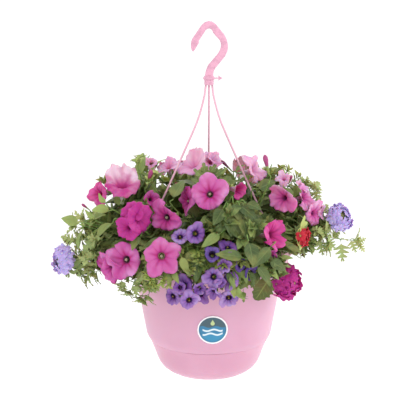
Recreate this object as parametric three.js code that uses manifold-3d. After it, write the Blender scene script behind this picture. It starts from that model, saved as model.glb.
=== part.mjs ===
// Hanging basket of bedding plants: a plastic hanging pot with a push-fit reservoir bowl, a
// three-strand hanger with a hook, soil, and petunias, calibrachoas and verbenas.
// Millimetres, +Z up. The pot's axis is the Z axis, -Y is the front, and azimuths are degrees
// from the front, growing towards +X. The model is built upward from the pot's flat base, and
// the whole basket then hangs from the origin, the inside top of the hook.

import * as THREE from "three";
import { mergeVertices } from "three/addons/utils/BufferGeometryUtils.js";
import Module from "manifold-3d";

const wasm = await Module();
wasm.setup();

// ---------------------------------------------------------------- driving dimensions

const CLEARANCE = 0.3; // gap that touching pieces keep
const UP = new THREE.Vector3(0, 0, 1);

const ROUND_SIDES = 32; // sides of the pot, bowl and soil
const WALL = 2;
const POT_HEIGHT = 200;
const RIM_RADIUS = 128;
const RIM_BEAD = 8;
const SHOULDER_RADIUS = 95;
const SHOULDER_Z = 67;
const JOINT_RADIUS = 88.5; // where the bowl pushes on
const JOINT_Z = 54.5;
const FLOOR_Z = 46; // inside floor of the pot, above the water
const BASE_RADIUS = 36;
const BOWL_ARC_RADIUS = 50;
const BOWL_ARC_END = 44.4; // degrees from the base
const SOIL_Z = 186;
const DRAIN_HOLES = 8;
const DRAIN_RADIUS = 4;
const DRAIN_CIRCLE = 56;
const OVERFLOW_WIDTH = 58;
const OVERFLOW_DEPTH = 1.5;

const LABEL_RADIUS = 22.5;
const LABEL_AZIMUTH = 3;
const LABEL_Z = 96;

const HANG_Z = 526; // inside top of the hook above the base
const HOOK_THICKNESS = 8;
const HUB_RADIUS = 7;
const HUB_BOTTOM_Z = 443;
const COLLAR_RADIUS = 9.3;
const COLLAR_Z = 452.6;
const STRAND_RADIUS = 1.5;
const CLIP_WIDTH = 14;
const CLIP_BOSS_RADIUS = 3;
const CLIP_TOP_Z = 203;
const CLIP_BOSS_Z = 207;
const STRANDS = { left: -60, right: 60, back: 180 }; // azimuths of the three strands

const STEM_RADIUS = 1.5;
const STEM_SIDES = 4;
const STEM_END = 9; // straight run behind a bloom
const SWAYS_ASIDE = [0, 8, -8, 16, -16, 24, -24, 32, -32]; // how far a stem's middle may sway
const SWAYS_UP = [0, 8, 16, 24];
const LEAF_TRIES = 8;
const CROWN_RADIUS = 9;
const CROWN_HEIGHT = 14;
const LEAF_THICKNESS = 1.4;
const PETAL_THICKNESS = 1.3;
const GOLDEN_ANGLE = 137.5;

// ---------------------------------------------------------------- finishes

const finish = (color, roughness) => new THREE.MeshStandardMaterial({ color, roughness, metalness: 0 });
const FINISHES = {
  pink_plastic: finish(0xe8b4c9, 0.42),
  hanger_plastic: finish(0xe9afc6, 0.45),
  label: finish(0x6fa6bd, 0.5),
  soil: finish(0x3b2a20, 0.95),
  petunia_stems: finish(0x5f8a35, 0.6),
  calibrachoa_stems: finish(0x759b38, 0.6),
  verbena_stems: finish(0x4f7334, 0.62),
  petunia_petals: finish(0xd94aa0, 0.5),
  calibrachoa_petals: finish(0x7d55b4, 0.5),
  lilac_petals: finish(0xb096de, 0.5),
  magenta_petals: finish(0xb3207f, 0.5),
  red_petals: finish(0xc22a45, 0.5),
};

// ---------------------------------------------------------------- small tools

const radians = THREE.MathUtils.degToRad;
const point = (x, z) => new THREE.Vector2(x, z);

function polar(azimuth, radius, z) {
  const a = radians(azimuth);
  return new THREE.Vector3(radius * Math.sin(a), -radius * Math.cos(a), z);
}

function facing(azimuth, elevation) {
  const e = radians(elevation);
  return polar(azimuth, Math.cos(e), Math.sin(e));
}

const azimuthOf = (p) => THREE.MathUtils.radToDeg(Math.atan2(p.x, -p.y));

// A closed geometry as a solid that can be joined and cut.
function solidOf(geometry, matrix) {
  const bare = geometry.clone();
  bare.deleteAttribute("normal");
  bare.deleteAttribute("uv");
  if (matrix) bare.applyMatrix4(matrix);
  const merged = mergeVertices(bare, 1e-3);
  return new wasm.Manifold(
    new wasm.Mesh({
      numProp: 3,
      vertProperties: merged.attributes.position.array,
      triVerts: new Uint32Array(merged.index.array),
    }),
  );
}

function geometryOf(solid) {
  const mesh = solid.getMesh();
  const geometry = new THREE.BufferGeometry();
  geometry.setAttribute("position", new THREE.BufferAttribute(mesh.vertProperties, 3));
  geometry.setIndex(new THREE.BufferAttribute(mesh.triVerts, 1));
  geometry.computeVertexNormals();
  return geometry;
}

const join = (solids) => solids.reduce((sum, solid) => sum.add(solid));

function biggest(solid) {
  const bodies = solid.decompose();
  return bodies.reduce((most, body) => (body.volume() > most.volume() ? body : most));
}

// Moves each corner of a closed counter-clockwise outline outward along its mitre. A corner
// on the axis stays on it.
function grown(outline, by) {
  const normal = (a, b) => point(b.y - a.y, a.x - b.x).normalize();
  return outline.map((p, i) => {
    const n1 = normal(outline.at(i - 1), p);
    const n2 = normal(p, outline[(i + 1) % outline.length]);
    const reach = by / Math.max(0.4, 1 + n1.dot(n2));
    const moved = p.clone().addScaledVector(n1, reach).addScaledVector(n2, reach);
    if (p.x === 0) moved.x = 0;
    return moved;
  });
}

// Turns a counter-clockwise outline round the Z axis.
function turned(outline, sides) {
  const closed = outline[0].x === 0 ? outline : [...outline, outline[0]];
  return new THREE.LatheGeometry(closed, sides).rotateX(Math.PI / 2);
}

// Both faces of a thin turned shell, from the line down its middle, which starts on the axis.
function shellOutline(line, thickness) {
  const side = (offset) =>
    line.map((p, i) => {
      if (p.x === 0) return point(0, p.y + offset);
      const along = line[Math.min(i + 1, line.length - 1)].clone().sub(line[i - 1]).normalize();
      return point(p.x - along.y * offset, p.y + along.x * offset);
    });
  return [...side(-thickness / 2), ...side(thickness / 2).reverse()];
}

function tube(points, radius, sides, steps) {
  const section = new THREE.Shape();
  for (let i = 0; i < sides; i++) {
    const a = (2 * Math.PI * i) / sides;
    const corner = point(radius * Math.cos(a), radius * Math.sin(a));
    if (i === 0) section.moveTo(corner.x, corner.y);
    else section.lineTo(corner.x, corner.y);
  }
  const path = new THREE.CatmullRomCurve3(points, false, "centripetal");
  return new THREE.ExtrudeGeometry(section, { extrudePath: path, steps, bevelEnabled: false });
}

// An upright cylinder with its bottom at z.
function post(radius, z, height, sides, place = point(0, 0)) {
  const geometry = new THREE.CylinderGeometry(radius, radius, height, sides);
  return geometry.rotateX(Math.PI / 2).translate(place.x, place.y, z + height / 2);
}

// ---------------------------------------------------------------- pot and bowl

// The outside of the pot from the joint up to the rim bead.
const POT_OUTSIDE = [
  point(JOINT_RADIUS, JOINT_Z + CLEARANCE),
  point(92.8, 61),
  point(SHOULDER_RADIUS, SHOULDER_Z),
  point(109.2, 146),
  point(112.6, 157),
  point(117.8, 170.5),
  point(121.8, 184),
  point(123.6, POT_HEIGHT - RIM_BEAD),
];
const WALL_SLOPE = (109.2 - SHOULDER_RADIUS) / (146 - SHOULDER_Z);

function potOutline() {
  const bead = [
    point(RIM_RADIUS - 1, POT_HEIGHT - RIM_BEAD),
    point(RIM_RADIUS, POT_HEIGHT - RIM_BEAD + 2),
    point(RIM_RADIUS, POT_HEIGHT - 2),
    point(RIM_RADIUS - 1.5, POT_HEIGHT),
    point(RIM_RADIUS - 5.5, POT_HEIGHT),
  ];
  const inside = POT_OUTSIDE.slice(1).reverse().map((p) => point(p.x - WALL, p.y + 0.4));
  const neckFoot = JOINT_RADIUS - WALL - 4.3;
  return [
    point(0, FLOOR_Z - WALL),
    point(neckFoot, FLOOR_Z - WALL),
    point(JOINT_RADIUS - WALL - 0.6, JOINT_Z + CLEARANCE),
    ...POT_OUTSIDE,
    ...bead,
    ...inside,
    point(neckFoot - WALL + 2.6, JOINT_Z - 2),
    point(neckFoot - WALL, FLOOR_Z),
    point(0, FLOOR_Z),
  ];
}

function potBody() {
  let pot = solidOf(turned(potOutline(), ROUND_SIDES));
  for (let i = 0; i < DRAIN_HOLES; i++) {
    const centre = polar((360 * i) / DRAIN_HOLES, DRAIN_CIRCLE, 0);
    pot = pot.subtract(solidOf(post(DRAIN_RADIUS, FLOOR_Z - 5, 8, 8, centre)));
  }
  return pot;
}

function bowlArc(radius) {
  const angles = [0, 0.25, 0.5, 0.75, 1].map((t) => radians(t * BOWL_ARC_END));
  return angles.map((a) =>
    point(BASE_RADIUS + radius * Math.sin(a), BOWL_ARC_RADIUS - radius * Math.cos(a)),
  );
}

function reservoirBowl() {
  const outline = [
    point(0, 0),
    ...bowlArc(BOWL_ARC_RADIUS),
    point(80.6, 33.5),
    point(JOINT_RADIUS, JOINT_Z),
    point(JOINT_RADIUS - WALL, JOINT_Z),
    point(80.6 - WALL, 34.2),
    ...bowlArc(BOWL_ARC_RADIUS - WALL).reverse(),
    point(0, WALL),
  ];
  const bowl = solidOf(turned(outline, ROUND_SIDES));
  const slot = new THREE.BoxGeometry(OVERFLOW_WIDTH, 2 * WALL + 8, 2 * OVERFLOW_DEPTH);
  slot.translate(0, -JOINT_RADIUS + 4, JOINT_Z);
  return bowl.subtract(solidOf(slot));
}

function soil() {
  const inside = potOutline()
    .slice(-10)
    .filter((p) => p.y < SOIL_Z && p.x > 0);
  const top = POT_OUTSIDE.at(-2).x - WALL;
  const outline = [point(0, FLOOR_Z), ...inside.reverse(), point(top, SOIL_Z), point(0, SOIL_Z)];
  const clear = grown(outline, -CLEARANCE);
  clear.at(-1).y = SOIL_Z;
  clear.at(-2).y = SOIL_Z;
  return turned(clear, ROUND_SIDES);
}

// The round label, a thin disc wrapped on the sloping wall.
function label() {
  const thickness = 0.5;
  const rings = [0, 0.5, 1].map((t) => t * LABEL_RADIUS);
  const outline = [...rings.map((r) => point(r, 0)), ...rings.reverse().map((r) => point(r, thickness))];
  const disc = turned(outline, 20);
  const places = disc.attributes.position;
  for (let i = 0; i < places.count; i++) {
    const z = LABEL_Z + places.getY(i);
    const wall = SHOULDER_RADIUS + WALL_SLOPE * (z - SHOULDER_Z);
    const radius = wall + 0.45 + places.getZ(i);
    const azimuth = THREE.MathUtils.radToDeg(places.getX(i) / wall);
    const wrapped = polar(azimuth, radius, z);
    places.setXYZ(i, wrapped.x, wrapped.y, wrapped.z);
  }
  return disc;
}

// ---------------------------------------------------------------- hanger

// The hook's outline, measured from the inside top of the hook, in x and z.
function hookShape() {
  const s = new THREE.Shape();
  s.moveTo(-5.6, -78);
  s.lineTo(-6.2, -70);
  s.quadraticCurveTo(-4.6, -60, -1.3, -54);
  s.lineTo(13.2, -37);
  s.quadraticCurveTo(20.5, -26, 15.4, -17);
  s.lineTo(6.1, -6.8);
  s.quadraticCurveTo(4.5, 0, 0, 0);
  s.quadraticCurveTo(-4, 0, -6.2, -4.5);
  s.lineTo(-14.9, -18);
  s.lineTo(-15, -21.5);
  s.lineTo(-20.8, -31);
  s.quadraticCurveTo(-24.6, -38, -26.6, -28);
  s.quadraticCurveTo(-27.6, -20, -24.1, -14.4);
  s.lineTo(-11, 4.8);
  s.quadraticCurveTo(-0.6, 16.2, 9.5, 6.7);
  s.lineTo(22.4, -9);
  s.quadraticCurveTo(33.2, -26, 23.6, -41);
  s.lineTo(9, -59);
  s.quadraticCurveTo(5.6, -64, 6.4, -71);
  s.lineTo(5.6, -78);
  return s;
}

// The little arrow on the collar that a plant label hangs on.
function labelBarbShape() {
  const s = new THREE.Shape();
  s.moveTo(5, -0.9);
  s.lineTo(14.5, -0.9);
  s.lineTo(12.6, -4.2);
  s.lineTo(20.2, 0);
  s.lineTo(12.6, 4.2);
  s.lineTo(14.5, 0.9);
  s.lineTo(5, 0.9);
  return s;
}

// A flat plate of the given outline that stands in the XZ plane, its middle on Y = 0.
function plate(shape, thickness, bevel, z) {
  const flat = new THREE.ExtrudeGeometry(shape, {
    depth: thickness - 2 * bevel,
    bevelEnabled: bevel > 0,
    bevelThickness: bevel,
    bevelSize: bevel,
    bevelOffset: -bevel,
    bevelSegments: 1,
    curveSegments: 4,
  });
  return flat.translate(0, 0, bevel - thickness / 2).rotateX(Math.PI / 2).translate(0, 0, z);
}

function hook() {
  const hub = [
    point(0, HUB_BOTTOM_Z),
    point(HUB_RADIUS, HUB_BOTTOM_Z),
    point(HUB_RADIUS, COLLAR_Z - 3.5),
    point(COLLAR_RADIUS, COLLAR_Z),
    point(HUB_RADIUS - 0.4, COLLAR_Z + 3.5),
    point(0, COLLAR_Z + 3.5),
  ];
  return join([
    solidOf(plate(hookShape(), HOOK_THICKNESS, 1.2, HANG_Z)),
    solidOf(turned(hub, 16)),
    solidOf(plate(labelBarbShape(), 2.4, 0, COLLAR_Z)),
  ]);
}

// A clip that grips the rim bead, in the plane of the strand at azimuth 0.
function clip(growth) {
  const section = [
    point(RIM_RADIUS + 0.7, 187),
    point(RIM_RADIUS + 3.2, 187),
    point(RIM_RADIUS + 3.2, CLIP_TOP_Z),
    point(119, CLIP_TOP_Z),
    point(119, 191),
    point(120.6, 191),
    point(120.8, POT_HEIGHT + 0.4),
    point(RIM_RADIUS + 0.7, POT_HEIGHT + 0.4),
  ];
  const width = CLIP_WIDTH + 2 * growth;
  const strip = new THREE.ExtrudeGeometry(new THREE.Shape(grown(section, growth)), {
    depth: width,
    bevelEnabled: false,
  });
  const alongX = new THREE.Matrix4().makeBasis(
    new THREE.Vector3(0, -1, 0),
    UP,
    new THREE.Vector3(-1, 0, 0),
  );
  strip.applyMatrix4(alongX).translate(width / 2, 0, 0);
  const bossHeight = CLIP_BOSS_Z - CLIP_TOP_Z + 1 + growth;
  const boss = post(CLIP_BOSS_RADIUS + growth, CLIP_TOP_Z - 1, bossHeight, 10, point(0, -125));
  return solidOf(strip).add(solidOf(boss));
}

// A strand from under the hub to its clip, in the plane of azimuth 0.
function strand(growth) {
  const path = [
    [5.4, HUB_BOTTOM_Z - CLEARANCE],
    [6.2, 434],
    [8.5, 424],
    [18.5, 393],
    [40, 351],
    [74, 287],
    [108, 229],
    [123.5, CLIP_BOSS_Z - 2],
  ].map(([radius, z]) => polar(0, radius, z));
  const bare = solidOf(tube(path, STRAND_RADIUS + growth, 6, 18));
  return biggest(bare.subtract(clip(CLEARANCE)));
}

// ---------------------------------------------------------------- blooms

// Each kind of bloom: the line down the middle of its petal shell, as shares of its radius and
// depth, the depth as a share of the radius, the number of sides, and how deep its lobes are.
const KINDS = {
  petunia: {
    line: [[0, 0], [0.12, 0.01], [0.2, 0.6], [0.5, 0.92], [1, 1]],
    depth: 1.15,
    sides: 10,
    lobes: 0.07,
  },
  bud: {
    line: [[0, 0], [0.25, 0.01], [0.5, 0.5], [1, 1]],
    depth: 2.4,
    sides: 8,
    lobes: 0.08,
  },
  calibrachoa: {
    line: [[0, 0], [0.14, 0.01], [0.3, 0.7], [1, 1]],
    depth: 1.1,
    sides: 10,
    lobes: 0.06,
  },
};

function lobed(geometry, kind, radius) {
  const places = geometry.attributes.position;
  for (let i = 0; i < places.count; i++) {
    const x = places.getX(i);
    const y = places.getY(i);
    const out = Math.hypot(x, y) / radius;
    const lobe = 1 + kind.lobes * Math.cos(5 * Math.atan2(y, x)) * out * out;
    places.setXYZ(i, x * lobe, y * lobe, places.getZ(i));
  }
  return geometry;
}

// A bloom that opens along +Z with the foot of its tube at the origin.
function funnel(kind, radius, growth) {
  const lift = PETAL_THICKNESS / 2;
  const line = kind.line.map(([r, z]) => point(r * radius, z * kind.depth * radius + lift));
  const outline = grown(shellOutline(line, PETAL_THICKNESS), growth);
  return lobed(turned(outline, kind.sides), kind, radius);
}

// A verbena head: a dome of small florets with a scalloped edge.
function head(radius, growth) {
  const r = radius;
  const outline = [
    point(0, 0),
    point(0.3 * r, 0.06 * r),
    point(0.92 * r, 0.34 * r),
    point(r, 0.52 * r),
    point(0.72 * r, 0.86 * r),
    point(0, r),
  ];
  return lobed(turned(grown(outline, growth), 10), { lobes: 0.06 }, radius);
}

function bloomSolid(bloom, growth) {
  const radius = bloom.across / 2;
  const kind = KINDS[bloom.kind];
  const shape = kind ? funnel(kind, radius, growth) : head(radius, growth);
  return solidOf(shape, bloomMatrix(bloom));
}

const bloomDepth = (bloom) => (bloom.across / 2) * (KINDS[bloom.kind]?.depth ?? 0.9);

// The foot of the bloom's tube, where its stem ends.
function bloomFoot(bloom) {
  const back = facing(...bloom.faces).multiplyScalar(-bloomDepth(bloom));
  return new THREE.Vector3(...bloom.at).add(back);
}

function bloomMatrix(bloom) {
  const turn = new THREE.Quaternion().setFromUnitVectors(UP, facing(...bloom.faces));
  return new THREE.Matrix4().compose(bloomFoot(bloom), turn, new THREE.Vector3(1, 1, 1));
}

// ---------------------------------------------------------------- plants

// Where the plants grow and where they bloom. A crown is an azimuth and a radius on the soil.
// A bloom has the middle of its face, the azimuth and elevation it faces, and its width.
// A shoot is the place where a leafy stem without a bloom ends.
const at = (azimuth, radius, z) => polar(azimuth, radius, z).toArray();

const PLANTS = {
  petunia_left: {
    crown: [-68, 62],
    stems: "petunia_stems",
    leaf: { length: 46, width: 27 },
    bloomLeaves: [0.7],
    shootLeaves: [0.58, 0.78, 0.97],
    blooms: [
      { kind: "petunia", at: [-122, -120, 207], faces: [-25, 10], across: 56 },
      { kind: "petunia", at: [-150, -92, 188], faces: [-80, -15], across: 46 },
      { kind: "petunia", at: [-68, -150, 220], faces: [0, 12], across: 56 },
      { kind: "petunia", at: [-163, -32, 284], faces: [-50, 5], across: 40 },
      { kind: "petunia", at: [-127, -52, 302], faces: [5, 45], across: 58 },
    ],
    shoots: [[-100, -12, 322], [-178, -40, 246], [-95, -105, 262], at(-55, 118, 225)],
  },
  petunia_middle: {
    crown: [0, 52],
    stems: "petunia_stems",
    leaf: { length: 44, width: 25 },
    bloomLeaves: [0.7],
    shootLeaves: [0.58, 0.78, 0.97],
    blooms: [
      { kind: "petunia", at: [0, -110, 302], faces: [-8, 20], across: 52 },
      { kind: "petunia", at: [-34, -78, 284], faces: [-65, 5], across: 44 },
      { kind: "petunia", at: [-64, -114, 267], faces: [-35, 0], across: 50 },
      { kind: "bud", at: [47, -76, 299], faces: [75, 0], across: 20 },
      { kind: "petunia", at: [-24, -28, 325], faces: [-20, 25], across: 48 },
    ],
    shoots: [[34, -28, 318], [26, -112, 262], [30, -124, 284], at(-20, 125, 235)],
  },
  petunia_right: {
    crown: [66, 62],
    stems: "petunia_stems",
    leaf: { length: 46, width: 28 },
    bloomLeaves: [0.7],
    shootLeaves: [0.58, 0.78, 0.97],
    blooms: [
      { kind: "petunia", at: [111, -72, 287], faces: [35, 5], across: 46 },
      { kind: "petunia", at: [142, -36, 281], faces: [105, 15], across: 42 },
      { kind: "petunia", at: [156, -48, 258], faces: [55, -5], across: 36 },
      { kind: "petunia", at: [91, -116, 243], faces: [30, 8], across: 54 },
      { kind: "petunia", at: [68, -20, 318], faces: [95, 10], across: 44 },
    ],
    shoots: [[84, -14, 330], [62, -118, 268], [66, -138, 205], [60, -142, 178], at(55, 130, 215)],
  },
  petunia_back: {
    crown: [180, 60],
    stems: "petunia_stems",
    leaf: { length: 46, width: 27 },
    bloomLeaves: [0.7],
    shootLeaves: [0.58, 0.78, 0.97],
    blooms: [
      { kind: "petunia", at: [4, 4, 326], faces: [15, 30], across: 40 },
      { kind: "petunia", at: [-62, 14, 316], faces: [-30, 35], across: 36 },
      { kind: "petunia", at: at(148, 112, 296), faces: [148, 35], across: 54 },
      { kind: "petunia", at: at(200, 118, 286), faces: [200, 20], across: 52 },
      { kind: "petunia", at: at(238, 158, 240), faces: [240, 12], across: 52 },
      { kind: "petunia", at: at(122, 158, 232), faces: [118, 8], across: 54 },
      { kind: "petunia", at: at(178, 162, 228), faces: [176, 10], across: 56 },
    ],
    shoots: [at(170, 80, 318), at(225, 110, 300), at(95, 150, 262), at(160, 145, 250), at(262, 150, 250)],
  },
  calibrachoa_front: {
    crown: [-4, 88],
    stems: "calibrachoa_stems",
    leaf: { length: 30, width: 12 },
    bloomLeaves: [0.7],
    shootLeaves: [0.62, 0.95],
    petals: "calibrachoa_petals",
    blooms: [
      { kind: "calibrachoa", at: [-42, -132, 245], faces: [-10, 50], across: 26 },
      { kind: "calibrachoa", at: [-19, -142, 251], faces: [15, 12], across: 29 },
      { kind: "calibrachoa", at: [26, -142, 232], faces: [0, 58], across: 26 },
      { kind: "calibrachoa", at: [5, -158, 192], faces: [-18, 12], across: 29 },
      { kind: "calibrachoa", at: [30, -152, 186], faces: [-30, 8], across: 26 },
      { kind: "calibrachoa", at: [-37, -151, 178], faces: [-25, 24], across: 27 },
      { kind: "calibrachoa", at: [-28, -163, 158], faces: [14, -12], across: 28 },
      { kind: "calibrachoa", at: [-53, -142, 158], faces: [-35, -15], across: 27 },
      { kind: "calibrachoa", at: [-10, -150, 164], faces: [35, 0], across: 24 },
      { kind: "calibrachoa", at: [28, -152, 158], faces: [5, -22], across: 28 },
    ],
    shoots: [[52, -146, 208], [-12, -148, 214], [-62, -138, 186], [10, -146, 172]],
  },
  calibrachoa_back: {
    crown: [150, 90],
    stems: "calibrachoa_stems",
    leaf: { length: 30, width: 12 },
    bloomLeaves: [0.7],
    shootLeaves: [0.62, 0.95],
    petals: "calibrachoa_petals",
    blooms: [
      { kind: "calibrachoa", at: at(150, 156, 186), faces: [150, 10], across: 28 },
      { kind: "calibrachoa", at: at(200, 154, 180), faces: [200, 0], across: 28 },
    ],
    shoots: [at(164, 150, 172), at(190, 146, 188), at(140, 146, 205)],
  },
  verbena_left: {
    crown: [-100, 84],
    stems: "verbena_stems",
    leaf: { length: 42, width: 28 },
    bloomLeaves: [0.7],
    shootLeaves: [0.58, 0.78, 0.97],
    blooms: [
      { kind: "verbena", at: [-226, -60, 190], faces: [-60, 5], across: 48, petals: "lilac_petals" },
      { kind: "verbena", at: [-116, -92, 259], faces: [-45, 25], across: 44, petals: "magenta_petals" },
      { kind: "verbena", at: at(218, 172, 205), faces: [218, 5], across: 46, petals: "lilac_petals" },
    ],
    shoots: [[-202, -48, 222], [-170, -78, 232], [-178, -72, 196], [-160, -72, 172], [-90, -118, 170]],
  },
  verbena_right: {
    crown: [98, 84],
    stems: "verbena_stems",
    leaf: { length: 42, width: 28 },
    bloomLeaves: [0.7],
    shootLeaves: [0.58, 0.78, 0.97],
    blooms: [
      { kind: "verbena", at: [200, -40, 256], faces: [55, 25], across: 46, petals: "lilac_petals" },
      { kind: "verbena", at: [120, -108, 168], faces: [40, 0], across: 50, petals: "magenta_petals" },
      { kind: "verbena", at: [142, -86, 230], faces: [60, -10], across: 30, petals: "red_petals" },
    ],
    shoots: [[225, -50, 208], [165, -22, 298], [180, -40, 232], [155, -70, 205], [186, -52, 208]],
  },
};

function leafShape(length, width, growth) {
  const half = width / 2 + growth;
  const end = length + growth;
  const foot = 1.2 + growth;
  return new THREE.Shape([
    point(-foot, -growth),
    point(foot, -growth),
    point(half, 0.48 * length),
    point(0, end),
    point(-half, 0.48 * length),
  ]);
}

function leafSolid(foot, direction, size, growth) {
  const thickness = LEAF_THICKNESS + 2 * growth;
  const blade = new THREE.ExtrudeGeometry(leafShape(size.length, size.width, growth), {
    depth: thickness,
    bevelEnabled: false,
  });
  blade.translate(0, 0, -thickness / 2);
  const upper = UP.clone().addScaledVector(direction, -UP.dot(direction)).normalize();
  const across = new THREE.Vector3().crossVectors(direction, upper);
  const place = new THREE.Matrix4().makeBasis(across, direction, upper).setPosition(foot);
  return solidOf(blade, place);
}

// The way a leaf leaves its stem: turned about the stem by the golden angle, a little forward
// and upward.
function leafDirection(tangent, index) {
  const side = new THREE.Vector3(0, 1, 0.3).cross(tangent).normalize();
  side.applyAxisAngle(tangent, radians(GOLDEN_ANGLE * index));
  return side.addScaledVector(tangent, 0.5).addScaledVector(UP, 0.3).normalize();
}

// The way from a crown to a stem's end, with its middle swayed sideways and upward. A stem that
// ends low goes over the rim first. A stem that carries a bloom ends along the bloom's axis.
function stemPath(crown, stem, aside, higher) {
  const end = stem.end;
  const outward = end.clone().sub(crown).setZ(0).setLength(0.5 * CROWN_RADIUS);
  const sway = new THREE.Vector3().crossVectors(UP, outward).setLength(aside).setZ(higher);
  const start = crown.clone().add(outward).setZ(SOIL_Z + 0.6 * CROWN_HEIGHT);
  const path = [start];
  if (end.z < POT_HEIGHT + 30 && Math.hypot(end.x, end.y) > RIM_RADIUS + 5) {
    const overRim = polar(azimuthOf(end), RIM_RADIUS + 7, Math.max(end.z + 6, POT_HEIGHT + 14));
    path.push(crown.clone().lerp(overRim, 0.5).setZ(POT_HEIGHT + 20).add(sway));
    path.push(overRim.addScaledVector(sway, 0.4));
  } else {
    const height = THREE.MathUtils.lerp(start.z, end.z, 0.5);
    path.push(crown.clone().lerp(end, 0.45).setZ(height).add(sway));
  }
  if (stem.along) {
    path.push(end.clone().addScaledVector(stem.along, -STEM_END).addScaledVector(sway, 0.25));
  }
  return [...path, end];
}

const stemSteps = (path) => path.length + 1;

const stemSolid = (path, growth) =>
  solidOf(tube(path, STEM_RADIUS + growth, STEM_SIDES, stemSteps(path)));

// The first of several ways for a stem that clears all that stands already.
function clearStem(name, crown, stem, standing) {
  for (const higher of SWAYS_UP) {
    for (const aside of SWAYS_ASIDE) {
      const path = stemPath(crown, stem, aside, higher);
      const solid = stemSolid(path, 0);
      if (isClear(solid, standing)) return { path, solid };
    }
  }
  throw new Error(`${name}: no clear way for the stem to ${stem.end.toArray()}`);
}

// Leaves along a stem, each turned on until it clears the rest, or left out.
function clearLeaves(stem, leaf, standing, ownLeaves) {
  const steps = stemSteps(stem.path);
  const bends = new THREE.CatmullRomCurve3(stem.path, false, "centripetal").getSpacedPoints(steps);
  const leaves = [];
  stem.leaves.forEach((share, i) => {
    const run = Math.floor(share * steps);
    const tangent = bends[run + 1].clone().sub(bends[run]).normalize();
    const foot = bends[run].clone().lerp(bends[run + 1], share * steps - run);
    for (let turn = 0; turn < LEAF_TRIES; turn++) {
      const direction = leafDirection(tangent, i + turn);
      const solid = leafSolid(foot, direction, leaf, 0);
      if (!isClear(solid, standing) || !isClear(solid, ownLeaves)) continue;
      leaves.push(solid);
      ownLeaves.push(leafSolid(foot, direction, leaf, CLEARANCE));
      return;
    }
  });
  return leaves;
}

function plantStems(plant) {
  const flowering = plant.blooms.map((bloom) => {
    const along = facing(...bloom.faces);
    const end = bloomFoot(bloom).addScaledVector(along, -CLEARANCE - 0.15);
    return { end, along, leaves: plant.bloomLeaves };
  });
  const leafy = plant.shoots.map((end) => {
    return { end: new THREE.Vector3(...end), leaves: plant.shootLeaves };
  });
  return [...flowering, ...leafy];
}

// ---------------------------------------------------------------- the whole basket

const basket = new THREE.Group();
basket.position.z = -HANG_Z;
const halos = []; // what later pieces have to clear, each grown by the clearance

function addMesh(name, geometry, finishName, parent = basket) {
  const mesh = new THREE.Mesh(geometry, FINISHES[finishName]);
  mesh.name = name;
  parent.add(mesh);
  return mesh;
}

function boxesMeet(a, b) {
  const [p, q] = [a.boundingBox(), b.boundingBox()];
  return [0, 1, 2].every((i) => p.min[i] < q.max[i] && q.min[i] < p.max[i]);
}

const isClear = (solid, others) =>
  others.every((other) => !boxesMeet(solid, other) || solid.intersect(other).isEmpty());

function addHolder() {
  addMesh("pot_body", geometryOf(potBody()), "pink_plastic");
  addMesh("reservoir_bowl", geometryOf(reservoirBowl()), "pink_plastic");
  addMesh("soil", soil(), "soil");
  addMesh("hook", geometryOf(hook()), "hanger_plastic");
  const sticker = addMesh("pot_label", label(), "label");
  sticker.rotation.z = radians(LABEL_AZIMUTH);
  halos.push(solidOf(turned(grown(potOutline(), CLEARANCE), ROUND_SIDES)));
}

function addStrands() {
  const clipGeometry = geometryOf(clip(0));
  const strandGeometry = geometryOf(strand(0));
  for (const [side, azimuth] of Object.entries(STRANDS)) {
    const arm = new THREE.Group();
    arm.rotation.z = radians(azimuth);
    addMesh(`rim_clip_${side}`, clipGeometry, "hanger_plastic", arm);
    addMesh(`strand_${side}`, strandGeometry, "hanger_plastic", arm);
    basket.add(arm);
    halos.push(clip(CLEARANCE).rotate([0, 0, azimuth]));
    halos.push(strand(CLEARANCE).rotate([0, 0, azimuth]));
  }
}

// A petal that reaches into a bloom that stands already is cut back from it.
function addBlooms() {
  const counts = {};
  for (const plant of Object.values(PLANTS)) {
    for (const bloom of plant.blooms) {
      const family = bloom.kind === "bud" ? "petunia" : bloom.kind;
      counts[family] = (counts[family] ?? 0) + 1;
      const name = `${family}_bloom_${String(counts[family]).padStart(2, "0")}`;
      const whole = bloomSolid(bloom, 0);
      const near = halos.filter((other) => boxesMeet(whole, other));
      const cleared = near.reduce((left, other) => left.subtract(other), whole);
      const petals = bloom.petals ?? plant.petals ?? "petunia_petals";
      addMesh(name, geometryOf(biggest(cleared)), petals);
      halos.push(bloomSolid(bloom, CLEARANCE));
    }
  }
}

// A plant's crown and stems, and the room that they take up.
function startPlant(name, plant, standing) {
  const crown = polar(...plant.crown, SOIL_Z);
  const foot = SOIL_Z + CLEARANCE;
  const pieces = [solidOf(post(CROWN_RADIUS, foot, CROWN_HEIGHT, 8, crown))];
  const room = [solidOf(post(CROWN_RADIUS + CLEARANCE, foot, CROWN_HEIGHT + 1, 8, crown))];
  const stems = plantStems(plant).map((stem) => {
    const { path, solid } = clearStem(name, crown, stem, standing);
    pieces.push(solid);
    room.push(stemSolid(path, CLEARANCE));
    return { path, leaves: stem.leaves };
  });
  return { name, plant, pieces, room, stems };
}

// All stems come first, so that a leaf never blocks another plant's stem.
function addPlants() {
  const started = [];
  for (const [name, plant] of Object.entries(PLANTS)) {
    const standing = [...halos, ...started.flatMap((other) => other.room)];
    started.push(startPlant(name, plant, standing));
  }
  for (const { name, plant, pieces, room, stems } of started) {
    const others = started.filter((other) => other.name !== name);
    const standing = [...halos, ...others.flatMap((other) => other.room)];
    const ownLeaves = [];
    for (const stem of stems) {
      pieces.push(...clearLeaves(stem, plant.leaf, standing, ownLeaves));
    }
    room.push(...ownLeaves);
    addMesh(`${name}_plant`, geometryOf(biggest(join(pieces))), plant.stems);
  }
}

addHolder();
addStrands();
addBlooms();
addPlants();

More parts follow.
